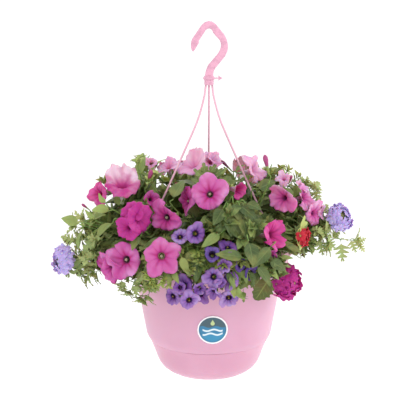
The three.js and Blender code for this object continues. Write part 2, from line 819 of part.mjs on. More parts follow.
const hangingBasket = new THREE.Group();
hangingBasket.name = "hanging_basket";
hangingBasket.add(basket);

export default hangingBasket;
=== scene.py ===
# Looks of a hanging basket of bedding plants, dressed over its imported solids.
# Metres, +Z up, the front at -Y. The origin is the inside top of the hook.

import math
import random

import bpy
import numpy as np
from mathutils import Matrix, Vector, kdtree


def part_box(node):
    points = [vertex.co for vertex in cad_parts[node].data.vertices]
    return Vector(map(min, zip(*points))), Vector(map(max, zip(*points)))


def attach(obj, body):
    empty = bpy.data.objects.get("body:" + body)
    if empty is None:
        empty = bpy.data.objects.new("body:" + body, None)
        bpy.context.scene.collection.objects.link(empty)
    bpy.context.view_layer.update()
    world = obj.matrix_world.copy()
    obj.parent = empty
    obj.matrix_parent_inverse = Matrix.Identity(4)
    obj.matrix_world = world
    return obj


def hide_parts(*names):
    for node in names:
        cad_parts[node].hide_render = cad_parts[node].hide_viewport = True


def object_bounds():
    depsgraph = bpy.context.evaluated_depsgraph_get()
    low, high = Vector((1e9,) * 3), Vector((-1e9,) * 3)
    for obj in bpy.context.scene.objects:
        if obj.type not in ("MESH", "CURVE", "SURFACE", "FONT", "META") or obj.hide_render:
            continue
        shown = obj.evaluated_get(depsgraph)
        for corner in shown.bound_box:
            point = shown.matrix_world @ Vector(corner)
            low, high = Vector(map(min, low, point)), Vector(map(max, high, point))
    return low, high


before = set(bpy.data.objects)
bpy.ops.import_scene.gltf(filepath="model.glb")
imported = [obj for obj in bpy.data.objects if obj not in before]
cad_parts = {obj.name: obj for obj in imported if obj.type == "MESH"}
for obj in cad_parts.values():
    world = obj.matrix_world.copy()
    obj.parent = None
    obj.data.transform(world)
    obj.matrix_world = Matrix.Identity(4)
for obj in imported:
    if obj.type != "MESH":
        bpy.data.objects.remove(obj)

CAD_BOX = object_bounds()
MM = 0.001
UP = Vector((0, 0, 1))
GOLDEN_ANGLE = math.radians(137.5)
SIDES = ("left", "right", "back")

BASE_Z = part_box("reservoir_bowl")[0].z
RIM_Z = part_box("pot_body")[1].z
RIM_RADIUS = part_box("pot_body")[1].x
SOIL_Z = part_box("soil")[1].z
HEART = Vector((0, 0, RIM_Z))  # the middle of the planting, which every bloom looks away from


def clamp(value):
    return min(1.0, max(0.0, value))


# --- working with objects


def pick(*objects):
    """Selects just these objects and makes the first one active."""
    for other in list(bpy.context.selected_objects):
        other.select_set(False)
    for obj in objects:
        obj.select_set(True)
    bpy.context.view_layer.objects.active = objects[0]


def ready():
    """Picks a node of the frame, so that the tools that add a mesh start in object mode."""
    pick(next(iter(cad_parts.values())))


def joined(name, objects):
    pick(*objects)
    if len(objects) > 1:
        bpy.ops.object.join()
    obj = bpy.context.view_layer.objects.active
    obj.name = name
    return obj


def apply_modifier(obj, kind, **settings):
    pick(obj)
    modifier = obj.modifiers.new(kind.title(), kind)
    for setting, value in settings.items():
        setattr(modifier, setting, value)
    bpy.ops.object.modifier_apply(modifier=modifier.name)


def smooth(obj, angle=40):
    pick(obj)
    bpy.ops.object.shade_smooth_by_angle(angle=math.radians(angle))


def coat(obj, *materials):
    obj.data.materials.clear()
    for material in materials:
        obj.data.materials.append(material)


def place_piece(obj, node):
    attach(obj, "root")
    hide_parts(node)


def dress(obj, angle, material, node):
    """Smooths an object, coats it and puts it in its node's place."""
    smooth(obj, angle)
    coat(obj, material)
    place_piece(obj, node)


def turned(name, rings, sides, top=True):
    """A round form drawn up from a circle, ring by ring. A ring is a radius and a height."""
    radius, z = rings[0]
    ready()
    bpy.ops.mesh.primitive_circle_add(vertices=sides, radius=radius)
    obj = bpy.context.object
    obj.name = name
    bpy.ops.object.mode_set(mode="EDIT")
    bpy.ops.mesh.select_all(action="SELECT")
    bpy.ops.transform.translate(value=(0, 0, z))
    bpy.ops.mesh.edge_face_add()
    bpy.ops.mesh.select_all(action="SELECT")
    for next_radius, next_z in rings[1:]:
        bpy.ops.mesh.extrude_edges_move(TRANSFORM_OT_translate={"value": (0, 0, next_z - z)})
        share = next_radius / radius
        bpy.ops.transform.resize(value=(share, share, 1), center_override=(0, 0, next_z))
        radius, z = next_radius, next_z
    if top:
        bpy.ops.mesh.edge_face_add()
    bpy.ops.mesh.select_all(action="SELECT")
    bpy.ops.mesh.normals_make_consistent(inside=False)
    bpy.ops.object.mode_set(mode="OBJECT")
    return obj


def shaped(obj, move):
    """Moves each vertex to where move(place) says."""
    for vertex in obj.data.vertices:
        vertex.co = move(vertex.co)
    obj.data.update()


def merged_copy(name, node):
    """A copy of a CAD node whose loose triangles are merged into one smooth skin."""
    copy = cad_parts[node].copy()
    copy.data = copy.data.copy()
    copy.parent = None
    copy.matrix_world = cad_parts[node].matrix_world
    bpy.context.collection.objects.link(copy)
    obj = joined(name, [copy])
    bpy.ops.object.transform_apply()
    bpy.ops.object.mode_set(mode="EDIT")
    bpy.ops.mesh.select_all(action="SELECT")
    bpy.ops.mesh.remove_doubles(threshold=0.00002)
    bpy.ops.mesh.dissolve_limited(angle_limit=math.radians(1))
    bpy.ops.object.mode_set(mode="OBJECT")
    return obj


# --- shader building


def paint(code):
    """A web colour as linear light."""
    values = [int(code[i : i + 2], 16) / 255 for i in (1, 3, 5)]
    linear = [v / 12.92 if v < 0.04045 else ((v + 0.055) / 1.055) ** 2.4 for v in values]
    return (*linear, 1)


class Signal:
    """A value that varies over a surface. Arithmetic on it adds the nodes that work it out."""

    def __init__(self, pattern, socket):
        self.pattern = pattern
        self.socket = socket

    def maths(self, operation, *others):
        return self.pattern.maths(operation, self, *others)

    def __add__(self, other):
        return self.maths("ADD", other)

    def __sub__(self, other):
        return self.maths("SUBTRACT", other)

    def __rsub__(self, other):
        return self.pattern.maths("SUBTRACT", other, self)

    def __mul__(self, other):
        return self.maths("MULTIPLY", other)

    def __truediv__(self, other):
        return self.maths("DIVIDE", other)

    def __pow__(self, other):
        return self.maths("POWER", other)

    def __abs__(self):
        return self.maths("ABSOLUTE")


class Pattern:
    """Adds nodes to a material's or a group's tree, wired as they are made."""

    def __init__(self, tree):
        self.tree = tree

    def feed(self, socket, value):
        if isinstance(value, Signal):
            value = value.socket
        if isinstance(value, bpy.types.NodeSocket):
            self.tree.links.new(value, socket)
        else:
            socket.default_value = value

    def node(self, kind, settings=None, inputs=None):
        """Adds a node and gives its outputs."""
        made = self.tree.nodes.new("ShaderNode" + kind)
        for name, value in (settings or {}).items():
            setattr(made, name, value)
        for name, value in (inputs or {}).items():
            self.feed(made.inputs[name], value)
        return made.outputs

    def maths(self, operation, a, b=0.0, c=0.0):
        return Signal(self, self.node("Math", {"operation": operation}, {0: a, 1: b, 2: c})[0])

    def blend(self, share, a, b):
        return self.node("Mix", {"data_type": "RGBA"}, {0: share, 6: a, 7: b})[2]

    def step(self, value, low, high):
        inputs = {"Value": value, "From Min": low, "From Max": high}
        return Signal(self, self.node("MapRange", {"interpolation_type": "SMOOTHSTEP"}, inputs)[0])

    def noise(self, place, scale, detail=3.0):
        inputs = {"Vector": place, "Scale": scale, "Detail": detail}
        return Signal(self, self.node("TexNoise", None, inputs)[0])

    def object_place(self):
        return self.node("TexCoord")["Object"]

    def split(self, place):
        return [Signal(self, part) for part in self.node("SeparateXYZ", None, {0: place})]

    def tone(self):
        return Signal(self, self.node("Attribute", {"attribute_name": "tone"})["Fac"])

    def group(self, tree, inputs):
        """The colour and the height that a shared effect gives."""
        made = self.node("Group", {"node_tree": tree}, inputs)
        return made["Color"], made["Height"]


def effect(name, colours, numbers):
    """An empty effect that gives a colour and a height, its Pattern, and its inputs and outputs."""
    tree = bpy.data.node_groups.new(name, "ShaderNodeTree")
    for kind, labels in (("Color", colours), ("Float", numbers)):
        for label in labels:
            tree.interface.new_socket(name=label, in_out="INPUT", socket_type=f"NodeSocket{kind}")
    for label, kind in (("Color", "Color"), ("Height", "Float")):
        tree.interface.new_socket(name=label, in_out="OUTPUT", socket_type=f"NodeSocket{kind}")
    p = Pattern(tree)
    start = {socket.name: Signal(p, socket) for socket in tree.nodes.new("NodeGroupInput").outputs}
    return tree, p, start, tree.nodes.new("NodeGroupOutput").inputs


def mottle_effect():
    """Soft cloudy patches and fine grain over a solid."""
    tree, p, start, end = effect("mottle", ("Color", "Patch Color"), ("Scale", "Amount"))
    place = p.object_place()
    clouds = p.step(p.noise(place, start["Scale"], 4.0), 0.42, 0.62)
    p.feed(end["Color"], p.blend(clouds * start["Amount"], start["Color"], start["Patch Color"]))
    p.feed(end["Height"], p.noise(place, start["Scale"] * 14.0, 2.0))
    return tree


PETAL_COLOURS = ("Petal", "Edge", "Vein", "Throat", "Eye")
PETAL_NUMBERS = ("Vein Amount", "Heart", "Throat End", "Eye End", "Veins")


def petal_effect():
    """A round bloom's colours from throat to edge, with veins that fan out along the petals. The creases
    between the lobes are darkened as painted shade, and the darker heart is partly its own colour and partly
    painted shade.
    """
    tree, p, start, end = effect("petal", PETAL_COLOURS, PETAL_NUMBERS)
    place = p.object_place()
    around, out = p.split(p.node("UVMap")[0])[:2]
    waver = (p.noise(place, 160.0) - 0.5) * 0.03
    ridge = abs(((around + waver) * start["Veins"] * math.pi).maths("SINE"))
    line = (1.0 - ridge) ** 3.0
    mid = abs(((around - 0.25) * (5 * math.pi)).maths("COSINE"))
    rib = mid**9.0
    # Painted shade: the creases between the lobes are darkened with the vein colour.
    crease_shade = (1.0 - mid) ** 4.0
    lines = (line * 0.55).maths("MAXIMUM", rib.maths("MAXIMUM", crease_shade * 0.7))
    patches = p.step(p.noise(place, 55.0, 2.0), 0.35, 0.7)
    # The tone turns petals paler: each lobe's own random tone, and painted light on the upper lobes of
    # standing blooms.
    paler = p.tone() * (patches * 0.8 + 0.6) + patches * 0.2
    to_edge = p.step(out, 0.2, 0.8) * paler.maths("MINIMUM", 1.0)
    colour = p.blend(to_edge, start["Petal"], start["Edge"])
    # The darker heart: partly the bloom's own colour, partly painted shade deep in its tube.
    heart_with_shade = p.step(out, rib * 0.3 + 0.34, 0.14)
    veined = lines * p.step(out, 1.0, 0.2) * start["Vein Amount"]
    colour = p.blend(veined.maths("MAXIMUM", heart_with_shade * start["Heart"]), colour, start["Vein"])
    deep = start["Throat End"] + line * 0.05
    colour = p.blend(p.step(out, deep, deep - 0.06), colour, start["Throat"])
    eye = p.step(out, start["Eye End"], start["Eye End"] - 0.04)
    p.feed(end["Color"], p.blend(eye, colour, start["Eye"]))
    p.feed(end["Height"], lines * -0.6 + p.noise(place, 300.0))
    return tree


LEAF_COLOURS = ("Light", "Dark", "Vein", "Warm")


def leaf_effect():
    """A leaf's midrib and side veins, its darker middle and its tone, which is partly its own and partly
    painted light.
    """
    tree, p, start, end = effect("leaf", LEAF_COLOURS, ("Side Veins", "Vein Amount"))
    place = p.object_place()
    across, along = p.split(p.node("UVMap")[0])[:2]
    off = abs(across - 0.5)
    midrib = p.step(off, 0.05, 0.012)
    wave = ((along - off * 0.5) * start["Side Veins"] * math.tau).maths("COSINE")
    veins = midrib.maths("MAXIMUM", p.step(wave, 0.86, 1.0) * 0.55)
    # The tone holds each leaf's own random tone plus painted light, higher where the leaf is open to the
    # light.
    tone = p.tone() * 0.75 + p.noise(place, 90.0) * 0.35
    colour = p.blend(p.step(tone, 0.1, 0.95), start["Dark"], start["Light"])
    warmth = p.step(p.noise(place, 34.0, 2.0), 0.46, 0.64) * 0.5
    colour = p.blend(warmth, colour, start["Warm"])
    p.feed(end["Color"], p.blend(veins * start["Vein Amount"], colour, start["Vein"]))
    p.feed(end["Height"], p.noise(place, 260.0) * 0.6 - veins)
    return tree


MOTTLE = mottle_effect()
PETAL = petal_effect()
LEAF = leaf_effect()


def finish(name, build, bump, distance, **shader):
    """A material whose colour and height come from build(pattern), with plain shader values."""
    made = bpy.data.materials.new(name)
    made.use_nodes = True
    p = Pattern(made.node_tree)
    surface = made.node_tree.nodes["Principled BSDF"]
    colour, height = build(p)
    p.feed(surface.inputs["Base Color"], colour)
    relief = {"Strength": bump, "Distance": distance, "Height": height}
    p.feed(surface.inputs["Normal"], p.node("Bump", None, relief)[0])
    for label, value in shader.items():
        surface.inputs[label.replace("_", " ").title().replace("Ior", "IOR")].default_value = value
    return made


def painted(labels, codes):
    """The web colours in a string, under the labels of a shared effect's inputs."""
    return dict(zip(labels, map(paint, codes.split())))


def plastic(name, colours, scale, amount, **shader):
    inputs = painted(("Color", "Patch Color"), colours) | {"Scale": scale, "Amount": amount}
    return finish(name, lambda p: p.group(MOTTLE, inputs), 0.06, 0.0002, **shader)


def petal(name, colours, *numbers, subsurface_weight=0.35):
    """The finish of petals. numbers are the strength of the veins and of the darker heart, partly
    painted shade, where the throat and the eye end as shares of the radius, and the count of veins."""
    inputs = painted(PETAL_COLOURS, colours) | dict(zip(PETAL_NUMBERS, numbers))
    skin = dict(subsurface_weight=subsurface_weight, subsurface_scale=0.0015)
    shine = dict(roughness=0.6, specular_ior_level=0.25)
    return finish(name, lambda p: p.group(PETAL, inputs), 0.35, 0.0003, **shine, **skin)


def leaf(name, colours, side_veins, vein_amount):
    inputs = painted(LEAF_COLOURS, colours) | {"Side Veins": side_veins, "Vein Amount": vein_amount}
    skin = dict(subsurface_weight=0.12, subsurface_scale=0.0012)
    shine = dict(roughness=0.5, specular_ior_level=0.35)
    return finish(name, lambda p: p.group(LEAF, inputs), 0.4, 0.0004, **shine, **skin)


def speckled(name, colours, scale, roughness, bump=0.4, distance=0.0004):
    colour, dark = map(paint, colours.split())

    def build(p):
        specks = p.step(p.noise(p.object_place(), scale, 4.0), 0.35, 0.65)
        return p.blend(specks, dark, colour), specks

    return finish(name, build, bump, distance, roughness=roughness)


DEEP_PLASTIC = dict(subsurface_weight=0.15, subsurface_scale=0.004)
POT_PINK = plastic("pot pink", "#d29eb6 #cb95ae", 9.0, 0.6, roughness=0.42, **DEEP_PLASTIC)
# The bowl's pink is a touch darker than the pot's, as painted shade of water in the reservoir.
BOWL_PINK = plastic("bowl pink", "#d19ab2 #ca90a9", 12.0, 0.6, roughness=0.38, **DEEP_PLASTIC)
HOOK_PINK = plastic("hook pink", "#e5aac2 #bd889f", 150.0, 0.4, roughness=0.4)
STRAND_PINK = plastic("strand pink", "#eab6c8 #e0a9bc", 30.0, 0.4, roughness=0.35)
SOIL = speckled("compost", "#5a4030 #1d130c", 260.0, 0.95, bump=0.9, distance=0.002)
PERLITE = speckled("perlite", "#e8e4da #c9c2b4", 400.0, 0.9)
STEM_GREEN = speckled("stem green", "#86a653 #5f8038", 180.0, 0.55)
CALYX_GREEN = speckled("calyx green", "#8fb05c #66873f", 220.0, 0.6)
HEAD_CORE = speckled("head core", "#8a8a58 #5c5f38", 300.0, 0.7)
STAMEN = speckled("stamen", "#c9c5a8 #8f8f70", 500.0, 0.6)
YELLOW_STAMEN = speckled("yellow stamen", "#a8923a #6f5f26", 500.0, 0.6)
PETUNIA_LEAF = leaf("petunia leaf", "#9aae62 #40532a #8c9d5e #8c8c4a", 6.0, 0.35)
SCALLOPED_LEAF = leaf("scalloped leaf", "#76843a #3f4a1e #8f9a4c #6a5428", 7.0, 0.45)
YOUNG_LEAF = leaf("young leaf", "#bacb78 #4e6334 #c0ce8c #aeb060", 5.0, 0.3)
CALIBRACHOA_LEAF = leaf("calibrachoa leaf", "#9fb056 #4c602c #b2c276 #9a8f4c", 3.0, 0.3)
VERBENA_LEAF = leaf("verbena leaf", "#b6c67e #70834a #b6c28e #a3a264", 5.0, 0.3)

# The fronts of the petals. Each has a petal, edge, vein, throat and eye colour.
FRONTS = {
    "hot": petal("hot pink petals", "#ba4294 #d492c5 #a31c64 #6b4560 #c7c19d", 0.85, 0.7, 0.21, 0.13, 45),
    "rose": petal("rose pink petals", "#bf4c97 #d492c1 #a92471 #816c56 #d3d1ad", 0.85, 0.8, 0.2, 0.17, 45),
    "deep": petal("deep pink petals", "#b12a83 #cf77b8 #771154 #613a55 #a19471", 0.75, 0.6, 0.22, 0.1, 45),
    "ruby": petal("ruby pink petals", "#be2a81 #d766a9 #861152 #780e48 #780e48", 0.8, 0.6, 0.2, 0.1, 45),
    "mauve": petal("mauve petals", "#d05aa6 #e6b4d6 #a83a80 #9a3a78 #9a3a78", 0.85, 0.6, 0.18, 0.1, 45),
    "blushed": petal("blushed petals", "#b83386 #e6cbdb #9c216a #8d1f5b #8d1f5b", 0.6, 0.7, 0.16, 0.08, 45),
    "pale": petal(
        "pale pink petals", "#d28fb9 #e8c5db #be719f #b26495 #c39aa3", 0.6, 0.5, 0.2, 0.1, 45,
        subsurface_weight=0.6,
    ),
    "violet": petal("violet petals", "#744496 #a382bc #44206c #2d1546 #a58b2a", 1, 1, 0.34, 0.2, 25),
    "dark": petal("dark violet petals", "#4a3078 #7860a6 #2c184f #1c0d2e #a08c2c", 0.85, 1, 0.42, 0.2, 25),
    "soft": petal("pale violet petals", "#875ca5 #b59acb #532d81 #2d1546 #a58b2a", 1, 1, 0.34, 0.2, 25),
    "lilac": petal("lilac florets", "#b9a7de #d2c6ee #9a86cc #a894d0 #c8c0d8", 0.3, 0.2, 0.2, 0.08, 10),
    "magenta": petal("magenta florets", "#b02684 #c04496 #80105c #6c1048 #8a8a4a", 0.5, 0.3, 0.16, 0.08, 10),
    "red": petal("red florets", "#c0263a #d24450 #86101f #7a0c1c #c0a060", 0.4, 0.3, 0.2, 0.08, 10),
}
PINK_BACK = petal("pink petal backs", "#c671ab #d99dc9 #923e78 #c3a4ae #c1b393", 0.6, 0, 0.16, 0.1, 30)
MOUTH_BACK = petal("half-open backs", "#c79ab8 #b23a86 #8a2a66 #d9c3cb #c7b998", 0.6, 0, 0.2, 0.1, 30)
PALE_BACK = petal("pale petal backs", "#d8a3c5 #e7c7db #b26d99 #d3bec2 #d1c1a3", 0.6, 0, 0.16, 0.1, 30)
VIOLET_BACK = petal("violet petal backs", "#9078c0 #c0b0de #6a4f9e #b9acd0 #c9c2a0", 0.6, 0, 0.2, 0.1, 25)
BUD_SKIN = petal("bud skin", "#a8487a #cf74a8 #6b2a4c #8a9a58 #8a9a58", 0.8, 0, 0.45, 0.2, 10)
MAROON_SKIN = petal("maroon bud skin", "#7d3a58 #b0648c #4a1c34 #7a8a50 #7a8a50", 0.8, 0, 0.4, 0.2, 10)


def label_finish():
    """A white ring round a blue disc, with a pale drop over white waves."""

    def build(p):
        low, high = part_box("pot_label")
        middle = (low + high) / 2
        radius = (high.z - low.z) / 2
        across, _, up = p.split(p.object_place())
        x = (across - middle.x) / radius
        z = (up - middle.z) / radius

        def distance(from_z):
            dz = z - from_z
            return (x * x + dz * dz).maths("SQRT")

        def waves(height, phase):
            swell = x.maths("MULTIPLY_ADD", 7.0, phase).maths("SINE") * 0.06
            return p.step(z - (swell + height), 0.02, -0.02)

        colour = p.blend(waves(0.22, 0.0), paint("#405963"), paint("#2f7aa2"))
        colour = p.blend(waves(-0.35, 2.0), colour, paint("#3187af"))
        for height, phase in ((-0.02, 1.0), (-0.3, 2.5)):
            line = waves(height + 0.06, phase) - waves(height - 0.06, phase)
            line *= p.step(abs(x), 0.68, 0.62)
            colour = p.blend(line * 0.85, colour, paint("#e8f2f4"))
        drop = p.step(distance(0.46), 0.15, 0.12)
        tip = p.step(0.13 - (z - 0.5) * 0.55 - abs(x), -0.01, 0.02) * p.step(z, 0.48, 0.52)
        colour = p.blend(drop.maths("MAXIMUM", tip), colour, paint("#b9c98f"))
        colour = p.blend(p.step(distance(0.0), 0.7, 0.9) * 0.4, colour, paint("#2c5a70"))
        colour = p.blend(p.step(distance(0.0), 0.89, 0.91), colour, paint("#f3f1f4"))
        return colour, p.noise(p.object_place(), 120.0)

    return finish("printed label", build, 0.03, 0.0002, roughness=0.45)


# --- camera, light and stage

CAMERA_PLACE = (-0.0133, -2.3431, 0.2618)
CAMERA_DIP = math.radians(12.5)


def set_camera():
    """A long lens before the basket, a little above it, that looks down on it."""
    data = bpy.data.cameras.new("camera")
    data.lens = 144
    data.clip_end = 100
    camera = bpy.data.objects.new("camera", data)
    bpy.context.collection.objects.link(camera)
    camera.location = CAMERA_PLACE
    camera.rotation_euler = (math.pi / 2 - CAMERA_DIP, 0, 0)
    bpy.context.scene.camera = camera


def add_light(name, place, aim, size, watts):
    data = bpy.data.lights.new(name, "AREA")
    data.size = size
    data.energy = watts
    light = bpy.data.objects.new(name, data)
    bpy.context.collection.objects.link(light)
    light.location = place
    light.rotation_mode = "QUATERNION"
    light.rotation_quaternion = (Vector(aim) - Vector(place)).to_track_quat("-Z", "Y")


def set_studio():
    """White light from all round, four soft lamps, and a white floor far below the basket."""
    scene = bpy.context.scene
    scene.view_settings.view_transform = "Standard"
    world = bpy.data.worlds.new("studio")
    scene.world = world
    world.use_nodes = True
    world.node_tree.nodes["Background"].inputs["Color"].default_value = (1, 1, 1, 1)
    world.node_tree.nodes["Background"].inputs["Strength"].default_value = 1.1
    add_light("key", (1.8, -1.7, 1.1), (0, 0, -0.3), 1.6, 14)
    add_light("edge", (2.2, 0.9, 0.0), (0, 0, -0.35), 1.2, 10)
    add_light("fill", (-2.2, -1.6, 0.4), (0, 0, -0.3), 1.8, 3)
    add_light("back", (0.4, 2.2, 1.0), (0, 0, -0.2), 1.6, 12)

    below = BASE_Z - 0.6
    ready()
    bpy.ops.mesh.primitive_circle_add(vertices=96, radius=40, fill_type="NGON", location=(0, 0, below))
    floor = bpy.context.object
    floor.name = "floor"
    bpy.ops.object.transform_apply()
    glow = dict(emission_color=(1, 1, 1, 1), emission_strength=0.05)
    matt = dict(roughness=0.9, specular_ior_level=0.0)
    coat(floor, plastic("floor white", "#fdfdfd #fafafa", 0.5, 0.3, **matt, **glow))


# --- pot, bowl and hanger

# Rings as radius and height in mm above the base. The pot's run from its neck up its outside,
# over the bead and down inside to the soil, and the bowl's up its outside and down inside.
POT_RINGS = [
    (82.2, 44), (85.9, 54.6), (89, 54.65), (89.4, 55), (91.2, 58), (92.8, 61), (94.1, 64), (95, 67),
    (102.1, 106.5), (109.2, 146), (110.2, 149.5), (111.3, 153.2), (112.6, 157), (115.2, 163.5),
    (117.8, 170.5), (119.9, 177.5), (121.8, 184), (123.2, 191.2), (124, 192), (127, 192),
    (127.7, 192.5), (128, 193.4), (128, 198.4), (127.6, 199.4), (126.6, 200), (122.4, 200),
    (121.8, 199.4), (121.6, 192), (119.8, 184.4), (115.8, 170.9), (110.6, 157.4), (107.2, 146.4),
    (93, 67.4), (84.8, 52.5), (80.2, 46),
]
BOWL_RINGS = [
    (30, 0.0), (36, 0.1), (45.7, 0.9), (55, 3.8), (63.6, 8.4), (71, 14.3), (76, 21.5), (79.2, 29),
    (81.2, 35), (84.9, 44.8), (88.5, 53.6), (88.9, 54.3), (88.7, 54.55), (86.6, 54.55), (78.6, 34.2),
    (69.5, 15.7), (53.8, 5.6), (36, 2),
]


def to_row(rings):
    return [(radius * MM, BASE_Z + z * MM) for radius, z in rings]


def make_pot():
    pot = turned("pot", to_row(POT_RINGS), 96)
    dress(pot, 50, POT_PINK, "pot_body")


def make_bowl():
    """The bowl with its overflow slot, cut by lowering the lip where the slot is."""
    bowl = turned("bowl", to_row(BOWL_RINGS), 96)
    lip = BASE_Z + 53 * MM
    half_slot = 29 * MM
    depth = 0.25 * MM

    def lowered(place):
        at_slot = place.y < 0 and abs(place.x) < half_slot and place.z > lip
        return Vector((place.x, place.y, place.z - depth)) if at_slot else place

    shaped(bowl, lowered)
    dress(bowl, 50, BOWL_PINK, "reservoir_bowl")


def make_soil():
    """Crumbled compost with loose crumbs on it, each third one a grain of perlite."""
    radius, rounds, crumb_count = 0.1188, 12, 70
    side = [(0.1085, SOIL_Z - 0.03), (0.114, SOIL_Z - 0.016), (0.118, SOIL_Z - 0.003)]
    top = [(step * radius / rounds, SOIL_Z) for step in range(rounds, 0, -1)]
    soil = turned("compost", side + top, 48)
    rng = random.Random(4)

    def crumbled(place):
        if place.z < SOIL_Z - 0.001 or math.hypot(place.x, place.y) > 0.116:
            return place
        return place + Vector((rng.uniform(-1, 1), rng.uniform(-1, 1), rng.uniform(-2.2, 1.8))) * MM

    shaped(soil, crumbled)
    smooth(soil, 60)
    coat(soil, SOIL)
    crumbs = []
    for i in range(crumb_count):
        turn = i * GOLDEN_ANGLE
        out = 0.113 * math.sqrt((i + 0.5) / crumb_count)
        size = rng.uniform(0.8, 2.2) * MM
        pick(soil)
        place = (out * math.sin(turn), out * math.cos(turn), SOIL_Z + 0.4 * size)
        bpy.ops.mesh.primitive_ico_sphere_add(subdivisions=1, radius=size, location=place)
        crumb = bpy.context.object
        bpy.ops.object.transform_apply()
        coat(crumb, PERLITE if i % 3 == 0 else SOIL)
        crumbs.append(crumb)
    place_piece(joined("compost", [soil] + crumbs), "soil")


def moulded(name, node, angle, material, bevel=None):
    """A piece in its CAD node's own shape. The bevel is its width and the angle it starts at."""
    piece = merged_copy(name, node)
    if bevel:
        width, limit = bevel
        sharp = dict(limit_method="ANGLE", angle_limit=math.radians(limit))
        apply_modifier(piece, "BEVEL", width=width, segments=2, **sharp)
    dress(piece, angle, material, node)


def make_label():
    moulded("round_label", "pot_label", 30, label_finish())


def make_hanger():
    moulded("hook_piece", "hook", 35, HOOK_PINK, (0.0007, 25))
    for side in SIDES:
        strand, clip = f"strand_{side}", f"rim_clip_{side}"
        moulded(f"{strand}_piece", strand, 75, STRAND_PINK)
        moulded(f"clip_{side}", clip, 35, STRAND_PINK, (0.0005, 30))


# --- flower masters


def ring_map(obj, sides, shares):
    """A UV map that runs round the bloom in U, with one share in V for each ring."""
    layer = obj.data.uv_layers.active or obj.data.uv_layers.new(name="UVMap")
    for face in obj.data.polygons:
        turns = []
        for loop in face.loop_indices:
            place = obj.data.vertices[obj.data.loops[loop].vertex_index].co
            turns.append((math.atan2(place.y, place.x) / math.tau) % 1)
        crosses = max(turns) - min(turns) > 0.5
        for loop, turn in zip(face.loop_indices, turns):
            ring = obj.data.loops[loop].vertex_index // sides
            u = turn + 1 if crosses and turn < 0.5 else turn
            layer.data[loop].uv = (u, shares[ring])


def add_tone(obj):
    obj.data.attributes.new("tone", "FLOAT", "POINT")


def lobed_bloom(name, profile, depth, sides, form, seed, thickness, front, back):
    """A five-lobed bloom of radius 1 with the foot of its tube at the origin, opening upward.
    The profile gives each ring's radius, its height as a share of the depth, and how far its
    lobes have parted. The form says how its lobes look, and the first lobe points along +Y."""
    rng = random.Random(seed)
    rings = [(radius, height * depth) for radius, height, parted in profile]
    bloom = turned(name, rings, sides, top=False)
    ring_map(bloom, sides, [radius for radius, height, parted in profile])
    painted_upper_light, stand = form["painted_upper_light"], form["stand"]
    lobes = [
        dict(
            size=1 + form["uneven"] * rng.uniform(-1, 0.6),
            bend=form["bend"] * rng.uniform(-1, 1),
            twist=rng.uniform(-0.1, 0.1),
            tilt=form["tilt"] * rng.uniform(0.4, 1.0),
            tone=rng.gauss(0.4, 0.2) * (1 - painted_upper_light),
        )
        for k in range(5)
    ]
    phases = [rng.uniform(0, math.tau) for wave in range(2)]
    tones = []
    for index, vertex in enumerate(bloom.data.vertices):
        parted = profile[index // sides][2]
        turn = math.atan2(vertex.co.y, vertex.co.x)
        steps = (turn - math.pi / 2) / (math.tau / 5)
        lobe = lobes[round(steps) % 5]
        aside = 2 * (steps - round(steps))
        off = abs(aside)
        middle = 1 - off**2
        wave = 0.6 * math.sin(10 * turn + phases[0]) + 0.4 * math.sin(19 * turn + phases[1])
        upper = math.cos(math.tau * (steps + form["paired"]) / 5)
        gap = form["sinus"] * off ** form["power"] + form["notch"] * math.exp(-((off / 0.12) ** 2))
        radius = math.hypot(vertex.co.x, vertex.co.y)
        radius *= 1 + parted * (lobe["size"] - 1) * middle + parted**2 * (0.06 - gap + 0.02 * wave)
        radius *= 1 - 0.25 * stand * parted**2 * max(0.0, upper)
        turn += parted * lobe["twist"] * middle
        lift = parted**2 * (form["ruffle"] * wave + lobe["bend"] * middle + lobe["tilt"] * aside)
        lift += parted**2 * (stand * max(form["droop"], upper) - 0.06 * off**2)
        lift -= 0.07 * parted * math.exp(-(((1 - off) / 0.18) ** 2))
        lift -= 0.025 * math.sin(math.pi * parted) * math.exp(-((off / 0.14) ** 2))
        vertex.co = (radius * math.cos(turn), radius * math.sin(turn), vertex.co.z + lift)
        seam_tone = 0.4 * (1 - middle) * (1 - painted_upper_light)
        # Painted light: the upper lobes are painted paler, as if lit. The rest of the tone is each lobe's
        # own random tone and its paler seams.
        tones.append(clamp(lobe["tone"] * middle + seam_tone + painted_upper_light * math.sqrt(max(0.0, upper))))
    bloom.data.update()
    if next(f for f in reversed(bloom.data.polygons) if len(f.vertices) == 4).normal.z < 0:
        bloom.data.flip_normals()
    add_tone(bloom)
    bloom.data.attributes["tone"].data.foreach_set("value", tones)
    coat(bloom, front, back)
    apply_modifier(
        bloom, "SOLIDIFY", thickness=thickness, offset=-1, material_offset=1, material_offset_rim=0
    )
    pick(bloom)
    bpy.ops.object.shade_smooth()
    return bloom


# Each ring's radius, its height as a share of the depth, and how far its lobes have parted.
PETUNIA_PROFILE = [
    (0.05, 0.0, 0), (0.08, 0.06, 0), (0.1, 0.25, 0), (0.115, 0.45, 0), (0.14, 0.62, 0),
    (0.19, 0.76, 0.03), (0.27, 0.86, 0.08), (0.38, 0.93, 0.18), (0.52, 0.975, 0.34),
    (0.66, 1.0, 0.52), (0.79, 1.01, 0.7), (0.9, 1.0, 0.86), (1.0, 0.97, 1),
]
BUD_PROFILE = [
    (0.12, 0.0, 0), (0.2, 0.08, 0), (0.26, 0.3, 0), (0.34, 0.5, 0.05), (0.5, 0.66, 0.2),
    (0.66, 0.8, 0.4), (0.85, 0.92, 0.7), (1.0, 0.98, 1),
]
CALIBRACHOA_PROFILE = [
    (0.09, 0.0, 0), (0.14, 0.1, 0), (0.17, 0.4, 0), (0.22, 0.62, 0), (0.32, 0.8, 0.05),
    (0.48, 0.9, 0.2), (0.66, 0.97, 0.45), (0.84, 1.0, 0.75), (1.0, 0.98, 1),
]
